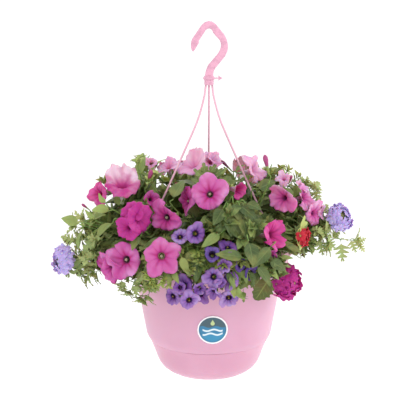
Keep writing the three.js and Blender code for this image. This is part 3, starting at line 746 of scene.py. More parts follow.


# How the lobes look: how deep and how pointed they part, the notch at their tips, their
# ruffles, how unevenly they grow and bend, how far their sides tilt, how far the upper ones
# stand up and the lower ones hang, whether a pair stands at the top, and how much paler the
# upper ones are painted, as painted light on the lit upper lobes.
PLAIN = dict(
    sinus=0.15, power=2.2, notch=0.02, ruffle=0.06, uneven=0.17, bend=0.18, tilt=0.07,
    stand=0.0, droop=0.0, paired=0.0, painted_upper_light=0.0,
)
ROUND = PLAIN | dict(sinus=0.17, power=3.0)
STAR = PLAIN | dict(sinus=0.3, power=1.5, notch=0.0)
FRILLED = PLAIN | dict(sinus=0.2, power=2.4, ruffle=0.09, uneven=0.2, bend=0.3, tilt=0.1)
FOLDED = PLAIN | dict(sinus=0.26, power=2.0, ruffle=0.09, uneven=0.3, bend=0.5, tilt=0.12)
# Standing blooms have their upper lobes painted paler, as painted light.
STANDING = PLAIN | dict(
    sinus=0.11, power=4.0, ruffle=0.08, uneven=0.14, bend=0.1, tilt=0.05,
    stand=0.75, droop=-0.1, paired=0.5, painted_upper_light=0.9,
)


def stamens_master(material):
    """A little cluster of anthers deep in a throat: a ring of five round one that stands out."""
    turns = [i * math.tau / 5 for i in range(5)]
    ring = [(0.05 * math.cos(turn), 0.05 * math.sin(turn), 0.92) for turn in turns]
    pieces = []
    for place in ring + [(0, 0, 0.98)]:
        ready()
        bpy.ops.mesh.primitive_ico_sphere_add(subdivisions=1, radius=0.046, location=place)
        bpy.ops.transform.resize(value=(0.8, 0.8, 1.3), center_override=place)
        bpy.ops.object.transform_apply()
        pieces.append(bpy.context.object)
    stamens = joined("stamens", pieces)
    coat(stamens, material)
    return stamens


def floret_master(tint, parting):
    """A flat five-petalled floret of radius 1 on a short tube, opening upward."""
    sides = 20
    rings = [(0.06, -0.9), (0.18, -0.16), (1.0, -0.03), (0.5, 0.07), (0.1, 0.0)]
    petal_rings = {2: 1.0, 3: 0.35}  # which rings are petals, and how strongly they are shaped
    floret = turned(f"{tint} floret", rings, sides)
    ring_map(floret, sides, (1.0, 1.0, 1.0, 0.5, 0.0))
    for index, vertex in enumerate(floret.data.vertices):
        turn = math.atan2(vertex.co.y, vertex.co.x)
        middle = 0.5 + 0.5 * math.cos(5 * turn)
        outer = petal_rings.get(index // sides, 0.0)
        share = 1 - outer * (parting * (1 - middle**0.7) + 0.12 * middle**8)
        lift = 0.14 * outer * math.sin(5 * turn + index % 3)
        vertex.co = (vertex.co.x * share, vertex.co.y * share, vertex.co.z + lift)
    coat(floret, FRONTS[tint])
    smooth(floret, 60)
    return floret


def bud_master(material, slim=1.0):
    """A folded bud of length 1 that stands on its foot, its pleats twisted towards the tip."""
    sides = 10
    rings = [
        (0.035, 0), (0.055, 0.12), (0.07, 0.35), (0.1, 0.58), (0.13, 0.74), (0.12, 0.87), (0.06, 0.97),
        (0.02, 1),
    ]
    bud = turned("bud", [(radius * slim, z) for radius, z in rings], sides)
    ring_map(bud, sides, [z for radius, z in rings])

    def pleated(place):
        turn = math.atan2(place.y, place.x)
        radius = math.hypot(place.x, place.y) * (1 + 0.16 * math.cos(5 * turn) * place.z)
        turn += 1.3 * place.z**2
        return Vector((radius * math.cos(turn), radius * math.sin(turn), place.z))

    shaped(bud, pleated)
    smooth(bud, 70)
    coat(bud, material)
    return bud


def calyx_master():
    """Five narrow sepals round the foot of a tube of length 1."""
    sepals = []
    for i in range(5):
        ready()
        bpy.ops.mesh.primitive_grid_add(x_subdivisions=2, y_subdivisions=4, size=1)
        sepal = bpy.context.object
        turn = Matrix.Rotation(i * math.tau / 5, 3, "Z")

        def curled(place, turn=turn):
            along = place.y + 0.5
            half = 0.055 * math.sin(math.pi * (0.12 + 0.85 * along)) + 0.012
            out = 0.075 + 0.16 * along**2 + 0.02 * abs(place.x)
            return turn @ Vector((out, place.x * 2 * half, -0.02 + 0.5 * along))

        shaped(sepal, curled)
        apply_modifier(sepal, "SOLIDIFY", thickness=0.016, offset=0)
        sepals.append(sepal)
    cup = turned("cup", [(0.03, -0.1), (0.07, -0.05), (0.085, 0.04), (0.09, 0.1)], 10)
    calyx = joined("calyx", [cup] + sepals)
    coat(calyx, CALYX_GREEN)
    smooth(calyx, 50)
    add_tone(calyx)
    return calyx


# --- leaf masters


def leaf_master(name, material, faces, width, droop, fold, thickness=0.012):
    """A leaf of length 1 along +Y from its stalk, its upper face up. faces are counted across
    and along, width(t) is the half width at a share t of the length and how far forward its
    edge lies there, and droop and fold bend it along and across."""
    across, along = faces
    ready()
    bpy.ops.mesh.primitive_grid_add(x_subdivisions=across, y_subdivisions=along, size=1)
    blade = bpy.context.object
    blade.name = name

    def grown(place):
        t = place.y + 0.5
        side = 2 * place.x
        half, forward = width(t)
        z = 0.22 * t * (1 - t) - droop * t * t + fold * abs(side) * half
        z += 0.018 * math.sin(9 * t + 2 * side)
        return Vector((side * half, t + forward * abs(side), z))

    shaped(blade, grown)
    coat(blade, material)
    apply_modifier(blade, "SOLIDIFY", thickness=thickness, offset=-1)
    smooth(blade, 60)
    add_tone(blade)
    return blade


def ovate(widest):
    """An egg-shaped leaf on a short stalk."""
    stalk = 0.018

    def width(t):
        if t < 0.1:
            return stalk, 0.0
        s = (t - 0.1) / 0.9
        return stalk + widest * math.sin(math.pi * s**0.72) ** 0.85 * (1 - 0.15 * s), 0.0

    return width


def narrow(widest):
    """A narrow leaf, widest past its middle."""

    def width(t):
        return 0.012 + widest * math.sin(math.pi * min(1.0, t * 0.98) ** 1.2) ** 0.9, 0.0

    return width


def cut(widest, teeth, waist=0.25, fullness=0.6):
    """A deeply cut leaf, whose lobes point forward. waist is the share of the width that is
    left between two lobes, and a lower fullness makes fuller lobes."""

    def width(t):
        if t < 0.16:
            return 0.014, 0.0
        s = (t - 0.16) / 0.84
        lobe = abs(math.sin(math.pi * teeth * s))
        return 0.02 + widest * (1 - s) ** 0.5 * (waist + (1 - waist) * lobe**fullness), 0.14 * lobe

    return width


def scalloped(widest):
    """A broad leaf with a wavy edge."""
    stalk = 0.02

    def width(t):
        if t < 0.12:
            return stalk, 0.0
        s = (t - 0.12) / 0.88
        half = stalk + widest * math.sin(math.pi * s**0.8) ** 0.6
        return half * (1 + 0.13 * math.sin(34 * s)), 0.0

    return width


# --- reading the blooms


class Bloom:
    """A bloom's foot, the way it faces, its depth and its radius."""

    def __init__(self, node, foot, axis, depth, radius):
        self.node = node
        self.foot = foot
        self.axis = axis
        self.depth = depth
        self.radius = radius
        self.face = foot + axis * depth

    def upright(self):
        """A frame whose +Z is the bloom's axis and whose +Y is as near upright as that allows."""
        above = (UP - self.axis * self.axis.z).normalized()
        return Matrix((above.cross(self.axis), above, self.axis)).transposed().to_4x4()

    def matrix(self, size, turn=0.0):
        """Lays a master on the bloom, turned in its own plane."""
        turned_round = Matrix.Rotation(math.radians(turn), 4, "Z")
        return Matrix.Translation(self.foot) @ self.upright() @ turned_round @ Matrix.Scale(size, 4)

    def leaning(self, back, aside):
        """The bloom leant back and aside on its stalk, round a place just inside its face."""
        inside = self.depth * 0.8
        pivot = self.foot + self.axis * inside
        tipped = Matrix.Rotation(math.radians(-back), 4, "X")
        swung = Matrix.Rotation(math.radians(aside), 4, "Y")
        axis = (self.upright() @ tipped @ swung @ UP.to_4d()).to_3d().normalized()
        return Bloom(self.node, pivot - axis * inside, axis, self.depth, self.radius)


def read_bloom(node):
    """Finds a bloom in its solid: its axis is the way in which its shell is spread oddly."""
    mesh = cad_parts[node].data
    corners = np.array([v.co for v in mesh.vertices], dtype=float)
    centres = np.array([f.center for f in mesh.polygons])
    areas = np.array([f.area for f in mesh.polygons])
    middle = (centres * areas[:, None]).sum(0) / areas.sum()
    spread = ((centres - middle).T * areas) @ (centres - middle)
    values, ways = np.linalg.eigh(spread)
    axis = ways[:, 0 if values[1] - values[0] > values[2] - values[1] else 2]
    if np.dot(axis, middle - np.array(HEART)) < 0:
        axis = -axis
    heights = (corners - middle) @ axis
    lateral = corners - middle - np.outer(heights, axis)
    ruffles = 1.06  # how far the solid's ruffled edge reaches past the bloom's radius
    radius = float(np.linalg.norm(lateral, axis=1).max()) / ruffles
    return Bloom(node, Vector(middle + axis * heights.min()), Vector(axis), float(np.ptp(heights)), radius)


def spot(place):
    """A place given in mm from the heart."""
    return HEART + Vector(place) * MM


def facing(azimuth, elevation):
    """The way to the front turned by an azimuth towards +X, then raised by an elevation."""
    turn = math.radians(azimuth)
    rise = math.radians(elevation)
    return Vector((math.sin(turn) * math.cos(rise), -math.cos(turn) * math.cos(rise), math.sin(rise)))


def small_bloom(host, place, azimuth, elevation, radius, depth):
    """A bloom too small for a solid of its own, whose face is at a place in mm from the heart."""
    axis = facing(azimuth, elevation)
    return Bloom(host, spot(place) - axis * depth * MM, axis, depth * MM, radius * MM)


# How many degrees a bloom leans back and to its left or right from the way its solid faces.
LEANS = {
    "petunia": {
        2: (0, 28), 5: (31, 0), 9: (0, -34), 10: (44, -14), 11: (18, -66), 12: (8, -46),
        13: (14, -16), 14: (6, 26), 15: (6, -24), 16: (24, 0), 17: (26, 0),
    },
    "verbena": {4: (16, -8)},
}

BLOOMS = {node: read_bloom(node) for node in sorted(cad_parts) if "_bloom_" in node}

# Small blooms: the bloom that each grows beside, its look and form, place, facing and size.
def bloom_of(family, number):
    return BLOOMS[f"{family}_bloom_{number:02d}"]


for family, leans in LEANS.items():
    for number, lean in leans.items():
        leant = bloom_of(family, number).leaning(*lean)
        BLOOMS[leant.node] = leant

# The small blooms of each plant: the bloom that each grows beside, its look, the place of its
# face, its facing, its radius and its depth.
SMALL_BLOOMS = {
    "petunia_left": [
        ("petunia_bloom_04", "deep", (-85, -60, 83), 20, 20, 13, 20),
        ("petunia_bloom_02", "deep", (-142, -112, -7), -28, -8, 19, 24),
    ],
    "petunia_right": [
        ("petunia_bloom_11", "pale", (112, -24, 107), 24, 52, 13, 18),
        ("petunia_bloom_14", "deep", (86, -128, 15), 20, -30, 12, 18),
        ("petunia_bloom_13", "pale", (168, -38, 58), 70, 10, 12, 20),
        ("petunia_bloom_12", "pale", (138, -30, 96), 60, 40, 13, 20),
    ],
    "petunia_back": [
        ("petunia_bloom_10", "pale", (8, 10, 130), 40, 50, 12, 20),
        ("petunia_bloom_17", "pale", (-88, 10, 124), -20, 45, 12, 20),
    ],
    "calibrachoa_front": [
        ("calibrachoa_bloom_02", "dark", (4, -160, 26), 0, 30, 13, 18),
        ("calibrachoa_bloom_05", "dark", (45, -154, 10), 30, 15, 12, 16),
        ("calibrachoa_bloom_05", "dark", (59, -149, -6), 40, -10, 12, 16),
        ("calibrachoa_bloom_04", "violet", (20, -158, 8), -10, 5, 11, 16),
        ("calibrachoa_bloom_04", "violet", (16, -160, -18), 20, -30, 11, 16),
        ("calibrachoa_bloom_10", "violet", (6, -160, -31), -20, -40, 12, 15),
        ("calibrachoa_bloom_06", "violet", (-14, -158, -26), 10, -10, 10, 14),
        ("calibrachoa_bloom_08", "violet", (-42, -158, -24), -10, 10, 10, 14),
    ],
}


def stamp(master, matrix, tone=None):
    """A copy of a master with its own mesh, laid where the matrix says."""
    mesh = master.data.copy()
    mesh.transform(matrix)
    if tone is not None:
        values = np.full(len(mesh.vertices), tone, dtype=np.float32)
        mesh.attributes["tone"].data.foreach_set("value", values)
    obj = bpy.data.objects.new(master.name, mesh)
    bpy.context.collection.objects.link(obj)
    return obj


# --- where leaves may go


def tree_of(places):
    """A tree that finds the nearest of some places."""
    tree = kdtree.KDTree(len(places))
    for index, place in enumerate(places):
        tree.insert(place, index)
    tree.balance()
    return tree


class Room:
    """Keeps leaves out of the pot, off the strands and away from the faces of the blooms."""

    def __init__(self):
        places = [v.co.copy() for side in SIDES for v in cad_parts[f"strand_{side}"].data.vertices]
        self.strands = tree_of(places)
        self.seen = tree_of([(place.x, 0, place.z) for place in places])
        self.depths = [place.y for place in places]

    def allows(self, place):
        if self.is_outside(place) or self.is_in_pot(place) or self.is_near_strand(place):
            return False
        return not any(self.hides(bloom, place) for bloom in BLOOMS.values())

    def is_outside(self, place):
        """True past the box of the solids, and over the top of the planting."""
        slack = 6 * MM
        low, high = CAD_BOX
        if not all(low[i] - slack < place[i] < high[i] + slack for i in range(3)):
            return True
        top = 0.142 if place.x < -0.06 else 0.124
        return place.z + 0.22 * place.y > RIM_Z + top

    def is_in_pot(self, place):
        """True inside the pot and round its rim bead."""
        radius = math.hypot(place.x, place.y)
        if place.z < SOIL_Z + 0.004 and radius < RIM_RADIUS + 0.004:
            return True
        return place.z < RIM_Z + 0.004 and RIM_RADIUS - 0.016 < radius < RIM_RADIUS + 0.006

    def is_near_strand(self, place):
        """True close to a strand, and before its upper part, which shows."""
        if self.strands.find(place)[2] < 0.006:
            return True
        nearest, index, gap = self.seen.find((place.x, 0, place.z))
        bare = RIM_Z + (0.1 if place.x < 0 else 0.072)
        return gap < 0.01 and place.y < self.depths[index] and place.z > bare

    def hides(self, bloom, place):
        """True where a leaf would stand before or inside a bloom."""
        gap = place - bloom.face
        ahead = gap.dot(bloom.axis)
        aside = (gap - bloom.axis * ahead).length
        if -0.35 * bloom.depth < ahead < 0.055 and aside < 1.15 * bloom.radius:
            return True
        in_front = bloom.axis.y < -0.2 and -0.12 < gap.y < 0
        return in_front and math.hypot(gap.x, gap.z) < 0.95 * bloom.radius


ROOM = Room()


# --- stems


def curve_through(points, count):
    """Evenly counted points on a smooth curve through the given ones."""
    points = [points[0] * 2 - points[1], *points, points[-1] * 2 - points[-2]]
    spans = len(points) - 3
    made = []
    for i in range(count):
        t = i / (count - 1) * spans
        k = min(int(t), spans - 1)
        t -= k
        a, b, c, d = points[k : k + 4]
        bend = (2 * a - 5 * b + 4 * c - d) * t * t + (3 * b - a - 3 * c + d) * t * t * t
        made.append(0.5 * (2 * b + (c - a) * t + bend))
    return made


def stem_line(crown, end, along=None, rng=None):
    """The way from a crown to an end: over the rim first when the end is low and outside it."""
    outward = Vector((end.x - crown.x, end.y - crown.y, 0))
    start = crown + outward.normalized() * 0.005
    sway = Vector()
    if rng:
        sway = Vector((rng.uniform(-1, 1), rng.uniform(-1, 1), rng.uniform(0, 1))) * 0.01
    points = [start]
    if end.z < RIM_Z + 0.03 and math.hypot(end.x, end.y) > RIM_RADIUS + 0.005:
        over = Vector((end.x, end.y, 0)).normalized() * (RIM_RADIUS + 0.009)
        over.z = max(end.z + 0.006, RIM_Z + 0.014)
        middle = crown.lerp(over, 0.5)
        middle.z = RIM_Z + 0.022
        points += [middle + sway, over + sway * 0.3]
    else:
        middle = crown.lerp(end, 0.45)
        middle.z = start.z + (end.z - start.z) * 0.5
        points.append(middle + sway)
    if along:
        points.append(end - along * 0.009)
    return curve_through([*points, end], 12)


def side_stem(lines, foot):
    """A short stem to a leaf's foot from the nearest point of the stems there are."""
    start = min((point for line in lines for point in line), key=lambda point: (point - foot).length)
    return curve_through([start, start.lerp(foot, 0.6) + UP * 0.002, foot], 5)


def stems_mesh(name, lines, thickness):
    """All stems of a plant as one mesh of thin tubes that taper by 45 % towards their tips."""
    data = bpy.data.curves.new(name, "CURVE")
    data.dimensions = "3D"
    data.bevel_depth = thickness
    data.bevel_resolution = 1
    data.use_fill_caps = True
    for line in lines:
        spline = data.splines.new("POLY")
        last = len(line) - 1
        spline.points.add(last)
        for i, place in enumerate(line):
            spline.points[i].co = (*place, 1)
            spline.points[i].radius = 1 - 0.45 * i / last
    obj = bpy.data.objects.new(name, data)
    bpy.context.collection.objects.link(obj)
    pick(obj)
    bpy.ops.object.convert(target="MESH")
    obj = bpy.context.object
    smooth(obj, 60)
    coat(obj, STEM_GREEN)
    add_tone(obj)
    if not obj.data.uv_layers:
        obj.data.uv_layers.new(name="UVMap")
    return obj


# --- plants

# The azimuth and radius of a plant's crown, its first and last bloom, the azimuths over which
# it trails past the rim, and how many shoots fill its heart.
PLANTS = {
    "petunia_left": dict(crown=(-68, 62), blooms=("petunia", 1, 5), skirt=(-74, -30), shoots=46),
    "petunia_middle": dict(crown=(0, 52), blooms=("petunia", 6, 10), skirt=None, shoots=44),
    "petunia_right": dict(crown=(66, 62), blooms=("petunia", 11, 15), skirt=(30, 44), shoots=52),
    "petunia_back": dict(crown=(180, 60), blooms=("petunia", 16, 22), skirt=(190, 244), shoots=60),
    "calibrachoa_front": dict(crown=(-4, 88), blooms=("calibrachoa", 1, 10), skirt=(-36, 34), shoots=44),
    "calibrachoa_back": dict(crown=(150, 90), blooms=("calibrachoa", 11, 12), skirt=(116, 190), shoots=26),
    "verbena_left": dict(crown=(-100, 84), blooms=("verbena", 1, 3), skirt=(-122, -62), shoots=44),
    "verbena_right": dict(crown=(98, 84), blooms=("verbena", 4, 6), skirt=None, shoots=20),
}

# In mm: how thick a stem is, the least and greatest length of a leaf and the gap between two.
# Then how many leaves crowd round a tip, and how much larger they are there.
STYLES = {
    "petunia": dict(stem=1.3, leaf=(22, 42), gap=11, tuft=7, young=1.0),
    "calibrachoa": dict(stem=0.8, leaf=(15, 25), gap=7, tuft=7, young=1.0),
    "verbena": dict(stem=0.8, leaf=(17, 30), gap=8, tuft=5, young=1.5),
}

# Where the tips of the shoots that stand out of the mass are, in mm from the heart.
SPRAYS = {
    "petunia_left": [
        (-98, 20, 136), (-106, 10, 127), (-159, -20, 102), (-178, -30, 81), (-63, -60, 103),
        (-73, -70, 90), (-52, -80, 86), (-88, -40, 108), (-80, -20, 112), (-170, -50, 50),
        (-120, -100, 66),
    ],
    "petunia_middle": [
        (-19, -40, 122), (-37, -50, 118), (15, -30, 112), (4, 0, 118), (28, 10, 106), (46, -90, 76),
        (9, -135, 52), (30, -60, 100), (52, -40, 106),
    ],
    "petunia_right": [
        (63, 20, 113), (94, 0, 123), (108, 10, 118), (68, -70, 84), (79, -50, 94), (45, -150, 12),
        (59, -140, 24), (85, -142, -6), (103, -122, 4), (96, -60, 96), (130, -60, 60),
    ],
    "petunia_back": [(120, 60, 90), (-120, 60, 90), (60, 90, 105), (-40, 100, 100), (0, 60, 118)],
    "calibrachoa_front": [
        (-40, -160, 14), (-26, -165, 1), (-15, -160, 14), (39, -152, -30), (49, -152, -41),
        (-62, -147, -31), (-76, -142, -29), (20, -158, 8), (-58, -146, 6), (-50, -142, 30),
        (-83, -150, -16), (-69, -152, -20), (-54, -155, -16), (-62, -155, -6), (-90, -145, -8),
        (-76, -150, -10), (-66, -152, -12), (-58, -156, -22), (-80, -148, -22), (-72, -150, 0),
        (40, -152, -20), (30, -155, -28),
    ],
    "calibrachoa_back": [(120, 0, 114), (136, 0, 105), (90, 90, 80), (130, 70, 50)],
    "verbena_left": [
        (-211, -30, 14), (-203, -20, 33), (-218, -30, -14), (-196, -50, -22), (-186, -55, -8),
        (-171, -60, 24), (-159, -70, -9), (-164, -40, 62), (-130, -112, -33), (-115, -127, -43),
        (-98, -137, -49), (-88, -140, -46), (-190, -40, 48), (-200, 20, 0), (-180, 60, 20),
        (-193, -50, -32), (-182, -55, -38), (-170, -60, -32), (-162, -60, -20), (-186, -50, -20),
        (-176, -50, -20),
    ],
    "verbena_right": [
        (222, -28, 12), (166, -50, 24), (180, -40, 44), (111, -114, -8), (103, -122, -14), (140, 4, 92),
        (185, 40, 26), (160, -60, 36), (172, -50, 30),
    ],
}

# Buds: where the foot of each is in mm from the heart, the way it stands, its length and skin.
BUDS = {
    "petunia_left": [((-91, -40, 98), 80, 75, 26, "pink"), ((-176, -40, 62), -70, 40, 16, "pink")],
    "petunia_right": [
        ((86, -78, 124), -60, 76, 30, "pink"), ((56, 20, 116), 0, 70, 18, "pink"),
        ((118, -30, 100), 30, 60, 16, "pink"),
    ],
    "petunia_middle": [((35, 0, 112), -84, 46, 24, "maroon"), ((60, -80, 70), 40, 50, 16, "pink")],
    "petunia_back": [((-70, 70, 90), 200, 60, 24, "pink"), ((90, 60, 84), 150, 60, 24, "maroon")],
}


# Single leaves that show between the blooms: the kind, the places of the stalk and the tip in
# mm from the heart, and the tone from dark to light.
SHOWN_LEAVES = {
    "petunia_left": [
        ("broad", (-98, -118, 42), (-112, -128, 24), 0.3),
        ("broad", (-172, -60, 52), (-152, -62, 62), 0.7),
        ("broad", (-190, -62, 46), (-216, -62, 56), 0.7), ("slim", (-184, -66, 40), (-194, -72, 6), 0.6),
        ("broad", (-160, -62, 40), (-176, -72, 22), 0.8),
        ("broad", (-144, -70, 68), (-171, -70, 71), 0.95),
        ("broad", (-140, -80, 52), (-166, -88, 33), 0.6), ("slim", (-166, -64, 54), (-182, -64, 67), 0.9),
        ("broad", (-150, -66, 78), (-162, -66, 92), 0.9),
    ],
    "petunia_middle": [
        ("broad", (-52, -85, 88), (-38, -62, 114), 0.25), ("broad", (34, -118, 90), (44, -134, 68), 0.05),
        ("broad", (44, -120, 86), (66, -136, 72), 0.0), ("broad", (20, -124, 84), (6, -140, 64), 0.1),
        ("broad", (28, -122, 78), (32, -142, 48), 0.1), ("broad", (52, -120, 90), (74, -128, 84), 0.05),
        ("broad", (46, -126, 72), (54, -144, 46), 0.05), ("slim", (24, -120, 80), (18, -138, 52), 0.15),
        ("lobed", (-4, -44, 112), (-8, -48, 132), 0.3), ("lobed", (-2, -44, 112), (8, -46, 130), 0.2),
        ("lobed", (-6, -46, 110), (-20, -50, 124), 0.3), ("lobed", (0, -44, 110), (18, -46, 124), 0.15),
        ("lobed", (-6, -48, 106), (-24, -54, 112), 0.2), ("lobed", (2, -46, 106), (22, -50, 112), 0.1),
        ("slim", (16, -135, 50), (-10, -155, 36), 0.45),
    ],
    "petunia_right": [
        ("slim", (49, -152, 18), (10, -163, 28), 0.2), ("broad", (55, -148, 42), (63, -160, 9), 0.0),
        ("slim", (88, -135, 31), (62, -157, 6), 0.1), ("slim", (67, -150, 7), (88, -160, -20), 0.15),
        ("slim", (109, -110, 25), (134, -113, 17), 0.1), ("broad", (70, -60, 98), (98, -50, 108), 0.1),
        ("broad", (30, -128, 66), (48, -140, 40), 0.05), ("broad", (50, -120, 72), (76, -132, 52), 0.05),
        ("broad", (84, -140, 10), (110, -140, -2), 0.1),
    ],
    "calibrachoa_front": [
        ("slim", (28, -148, -24), (51, -158, -41), 0.7), ("slim", (30, -150, -18), (36, -160, -38), 0.9),
        ("slim", (62, -140, -12), (44, -152, -27), 0.3), ("slim", (-40, -150, 20), (-30, -166, -2), 0.6),
        ("slim", (-52, -150, 0), (-44, -162, -16), 0.5), ("slim", (34, -148, 6), (44, -158, -18), 0.3),
        ("slim", (46, -146, 2), (54, -156, -18), 0.4), ("slim", (30, -150, -6), (36, -159, -26), 0.5),
        ("slim", (-30, -140, 26), (-24, -156, 4), 0.0), ("slim", (-18, -142, 24), (-22, -158, 0), 0.0),
        ("slim", (-14, -146, 8), (-20, -158, -16), 0.1), ("slim", (-60, -146, -4), (-55, -156, -22), 0.4),
        ("slim", (-52, -148, -6), (-60, -157, -20), 0.5), ("slim", (26, -148, -2), (31, -158, -20), 0.2),
        ("slim", (58, -146, -2), (64, -156, -22), 0.1), ("slim", (70, -142, -4), (60, -156, -24), 0.1),
    ],
    "verbena_left": [
        ("slim", (-170, -75, 8), (-162, -72, 40), 0.7), ("frond", (-187, -60, 4), (-177, -66, -30), 0.1),
        ("frond", (-199, -52, 1), (-209, -58, -32), 0.1),
        ("frond", (-197, -44, 15), (-216, -48, 23), 0.7),
        ("frond", (-192, -60, 0), (-192, -64, -30), 0.2),
        ("frond", (-120, -120, -25), (-130, -126, -36), 0.4),
        ("frond", (-103, -132, -26), (-105, -138, -41), 0.4),
    ],
    "verbena_right": [
        ("scalloped", (86, -142, -12), (66, -152, -44), 0.2),
        ("lobed", (128, -84, 34), (139, -88, 60), 0.9), ("lobed", (130, -84, 20), (134, -92, 44), 0.8),
        ("lobed", (132, -86, 8), (129, -94, 32), 1.0), ("frond", (196, -34, 13), (199, -38, -14), 0.5),
        ("frond", (161, -50, 20), (168, -56, 0), 0.3), ("frond", (184, -36, 22), (194, -38, 34), 0.3),
        ("frond", (210, -30, 15), (218, -36, -1), 0.6), ("frond", (222, -26, 8), (232, -30, 16), 0.9),
        ("frond", (222, -26, 8), (231, -32, -2), 0.9), ("frond", (175, -44, 20), (185, -50, 8), 0.4),
        ("frond", (150, -4, 86), (160, -10, 97), 0.9), ("frond", (157, -6, 86), (163, -14, 68), 0.9),
        ("frond", (150, -6, 83), (146, -12, 69), 0.7), ("frond", (153, -6, 89), (166, -12, 87), 1.0),
    ],
}


def polar(azimuth, radius, z):
    turn = math.radians(azimuth)
    return Vector((radius * math.sin(turn), -radius * math.cos(turn), z))


def solid_places(node, count, rng):
    """Places spread over a plant's solid by area."""
    faces = list(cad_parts[node].data.polygons)
    chosen = rng.choices(faces, [f.area for f in faces], k=count)
    return [f.center.copy() for f in chosen]


def leaf_turn(place, tangent, index):
    """The way a leaf points: turned round its stem, then outward and a little up."""
    side = tangent.cross(Vector((0.2, 1, 0.3))).normalized()
    side.rotate(Matrix.Rotation(GOLDEN_ANGLE * index, 3, tangent))
    outward = (place - HEART).normalized()
    way = side + tangent * 0.45 + outward * 0.55 + UP * 0.15
    return way.normalized()


def laid(foot, way, face, size):
    """Lays a leaf from its foot along a way, with its upper face turned to another."""
    face = (face - way * face.dot(way)).normalized()
    turned_in = Matrix((way.cross(face), way, face)).transposed().to_4x4()
    return Matrix.Translation(foot) @ turned_in @ Matrix.Scale(size, 4)


def grown_matrix(foot, way, size, rng):
    """Lays a leaf along its way with its upper face towards the light outside."""
    outward = (foot - HEART).normalized()
    sway = Vector((rng.uniform(-1, 1), rng.uniform(-1, 1), 0)) * 0.25
    return laid(foot, way, UP * 0.75 + outward * 0.6 + sway, size)


def shown_matrix(foot, tip, kind):
    """Lays a leaf from its foot to its tip, its upper face to the outside, a frond's to the front."""
    outside = Vector((0 if kind == "frond" else foot.x, foot.y, 0)).normalized()
    return laid(foot, (tip - foot).normalized(), outside + UP * 0.6, (tip - foot).length)


def painted_daylight(place):
    """How open to the sky a place is, used as painted light that makes leaves lighter: 0 in the heart
    of the planting, 1 at its top, its tips and the low sprays at the front left. The low tips at
    the left lie in shade."""
    high = (place.z - RIM_Z - 0.075) / 0.05
    wide = (abs(place.x) - 0.12) / 0.06
    if place.x < 0 and place.z < RIM_Z + 0.04:
        wide *= 0.4
    low = 1.3 - (place - HEART - Vector((-0.07, -0.15, -0.015))).length / 0.035
    behind = place.y / 0.1
    return clamp(max(high, wide, low, behind))


def leaves_along(line, style, leaves, rng, first=0.35, sparse=1.0):
    """Leaves along a line, from a share of its length on. They are smaller near its end."""
    low, high = style["leaf"]
    last = len(line) - 1
    length = sum((b - a).length for a, b in zip(line, line[1:]))
    count = max(2, int(length * (1 - first) / (style["gap"] * MM * sparse)))
    made = []
    for i in range(count):
        share = first + (1 - first) * (i + rng.random() * 0.5) / count
        k = min(int(share * last), last - 1)
        tangent = (line[k + 1] - line[k]).normalized()
        foot = line[k].lerp(line[k + 1], share * last - k)
        size = rng.uniform(low, high) * MM * (1.1 - 0.6 * max(0, share - 0.6) / 0.4)
        for attempt in range(4):
            way = leaf_turn(foot, tangent, i + attempt)
            if ROOM.allows(foot + way * size * 0.55) and ROOM.allows(foot + way * size * 0.95):
                # Painted light: a leaf's tone is raised where it is open to the light, on top of its own
                # random tone.
                tone = clamp(rng.gauss(0.32, 0.15) + 0.3 * (share - 0.6) + 0.4 * painted_daylight(foot))
                made.append(stamp(rng.choice(leaves), grown_matrix(foot, way, size, rng), tone))
                break
    return made


def tuft(line, style, masters, rng):
    """Small leaves that crowd round the end of a shoot, the lighter young ones where it is light, all
    painted lighter there as painted light.
    """
    # Painted light in part: the lighter young leaves are picked where the end is open to the light.
    kind = "young" if painted_daylight(line[-1]) > 0.2 else "leaves"
    end = line[-1]
    tangent = (end - line[-2]).normalized()
    made = []
    for i in range(style["tuft"]):
        size = style["leaf"][0] * MM * rng.uniform(0.5, 0.85) * (1.15 - 0.09 * i) * style["young"]
        side = tangent.orthogonal().normalized()
        side.rotate(Matrix.Rotation(GOLDEN_ANGLE * i + rng.random(), 3, tangent))
        way = (side * (0.95 - 0.11 * i) + tangent * 0.6 + UP * 0.1).normalized()
        foot = end - tangent * 0.0012 * (6 - i)
        if ROOM.allows(foot + way * size * 0.9):
            # Painted light: the tuft's tone rises where the shoot's end is open to the light.
            tone = clamp(rng.gauss(0.2, 0.2) + 0.6 * painted_daylight(end))
            made.append(stamp(rng.choice(masters[kind]), laid(foot, way, tangent, size), tone))
    return made


def shoot_ends(name, plant, crown, blooms, rng):
    """Where the leafy shoots of a plant end: the sprays, the skirt past the rim, and its heart."""
    ends = [spot(place) for place in SPRAYS[name]]
    if plant["skirt"]:
        start, stop = plant["skirt"]
        count = int(abs(stop - start) / 3.4)
        for i in range(count):
            azimuth = start + (stop - start) * (i + rng.random()) / count
            ends.append(polar(azimuth, rng.uniform(0.137, 0.153), RIM_Z - rng.uniform(-0.006, 0.03)))
    for i, end in enumerate(solid_places(f"{name}_plant", plant["shoots"], rng)):
        if i % 3 == 0:
            a, b = rng.choice(blooms), rng.choice(blooms)
            end = crown.lerp(a.foot.lerp(b.foot, rng.random()), rng.uniform(0.7, 0.97))
        ends.append(end)
    return [end for end in ends if ROOM.allows(end)]


def upright_to(way):
    """Turns what stands upright so that it stands along a way."""
    return UP.rotation_difference(way).to_matrix().to_4x4()


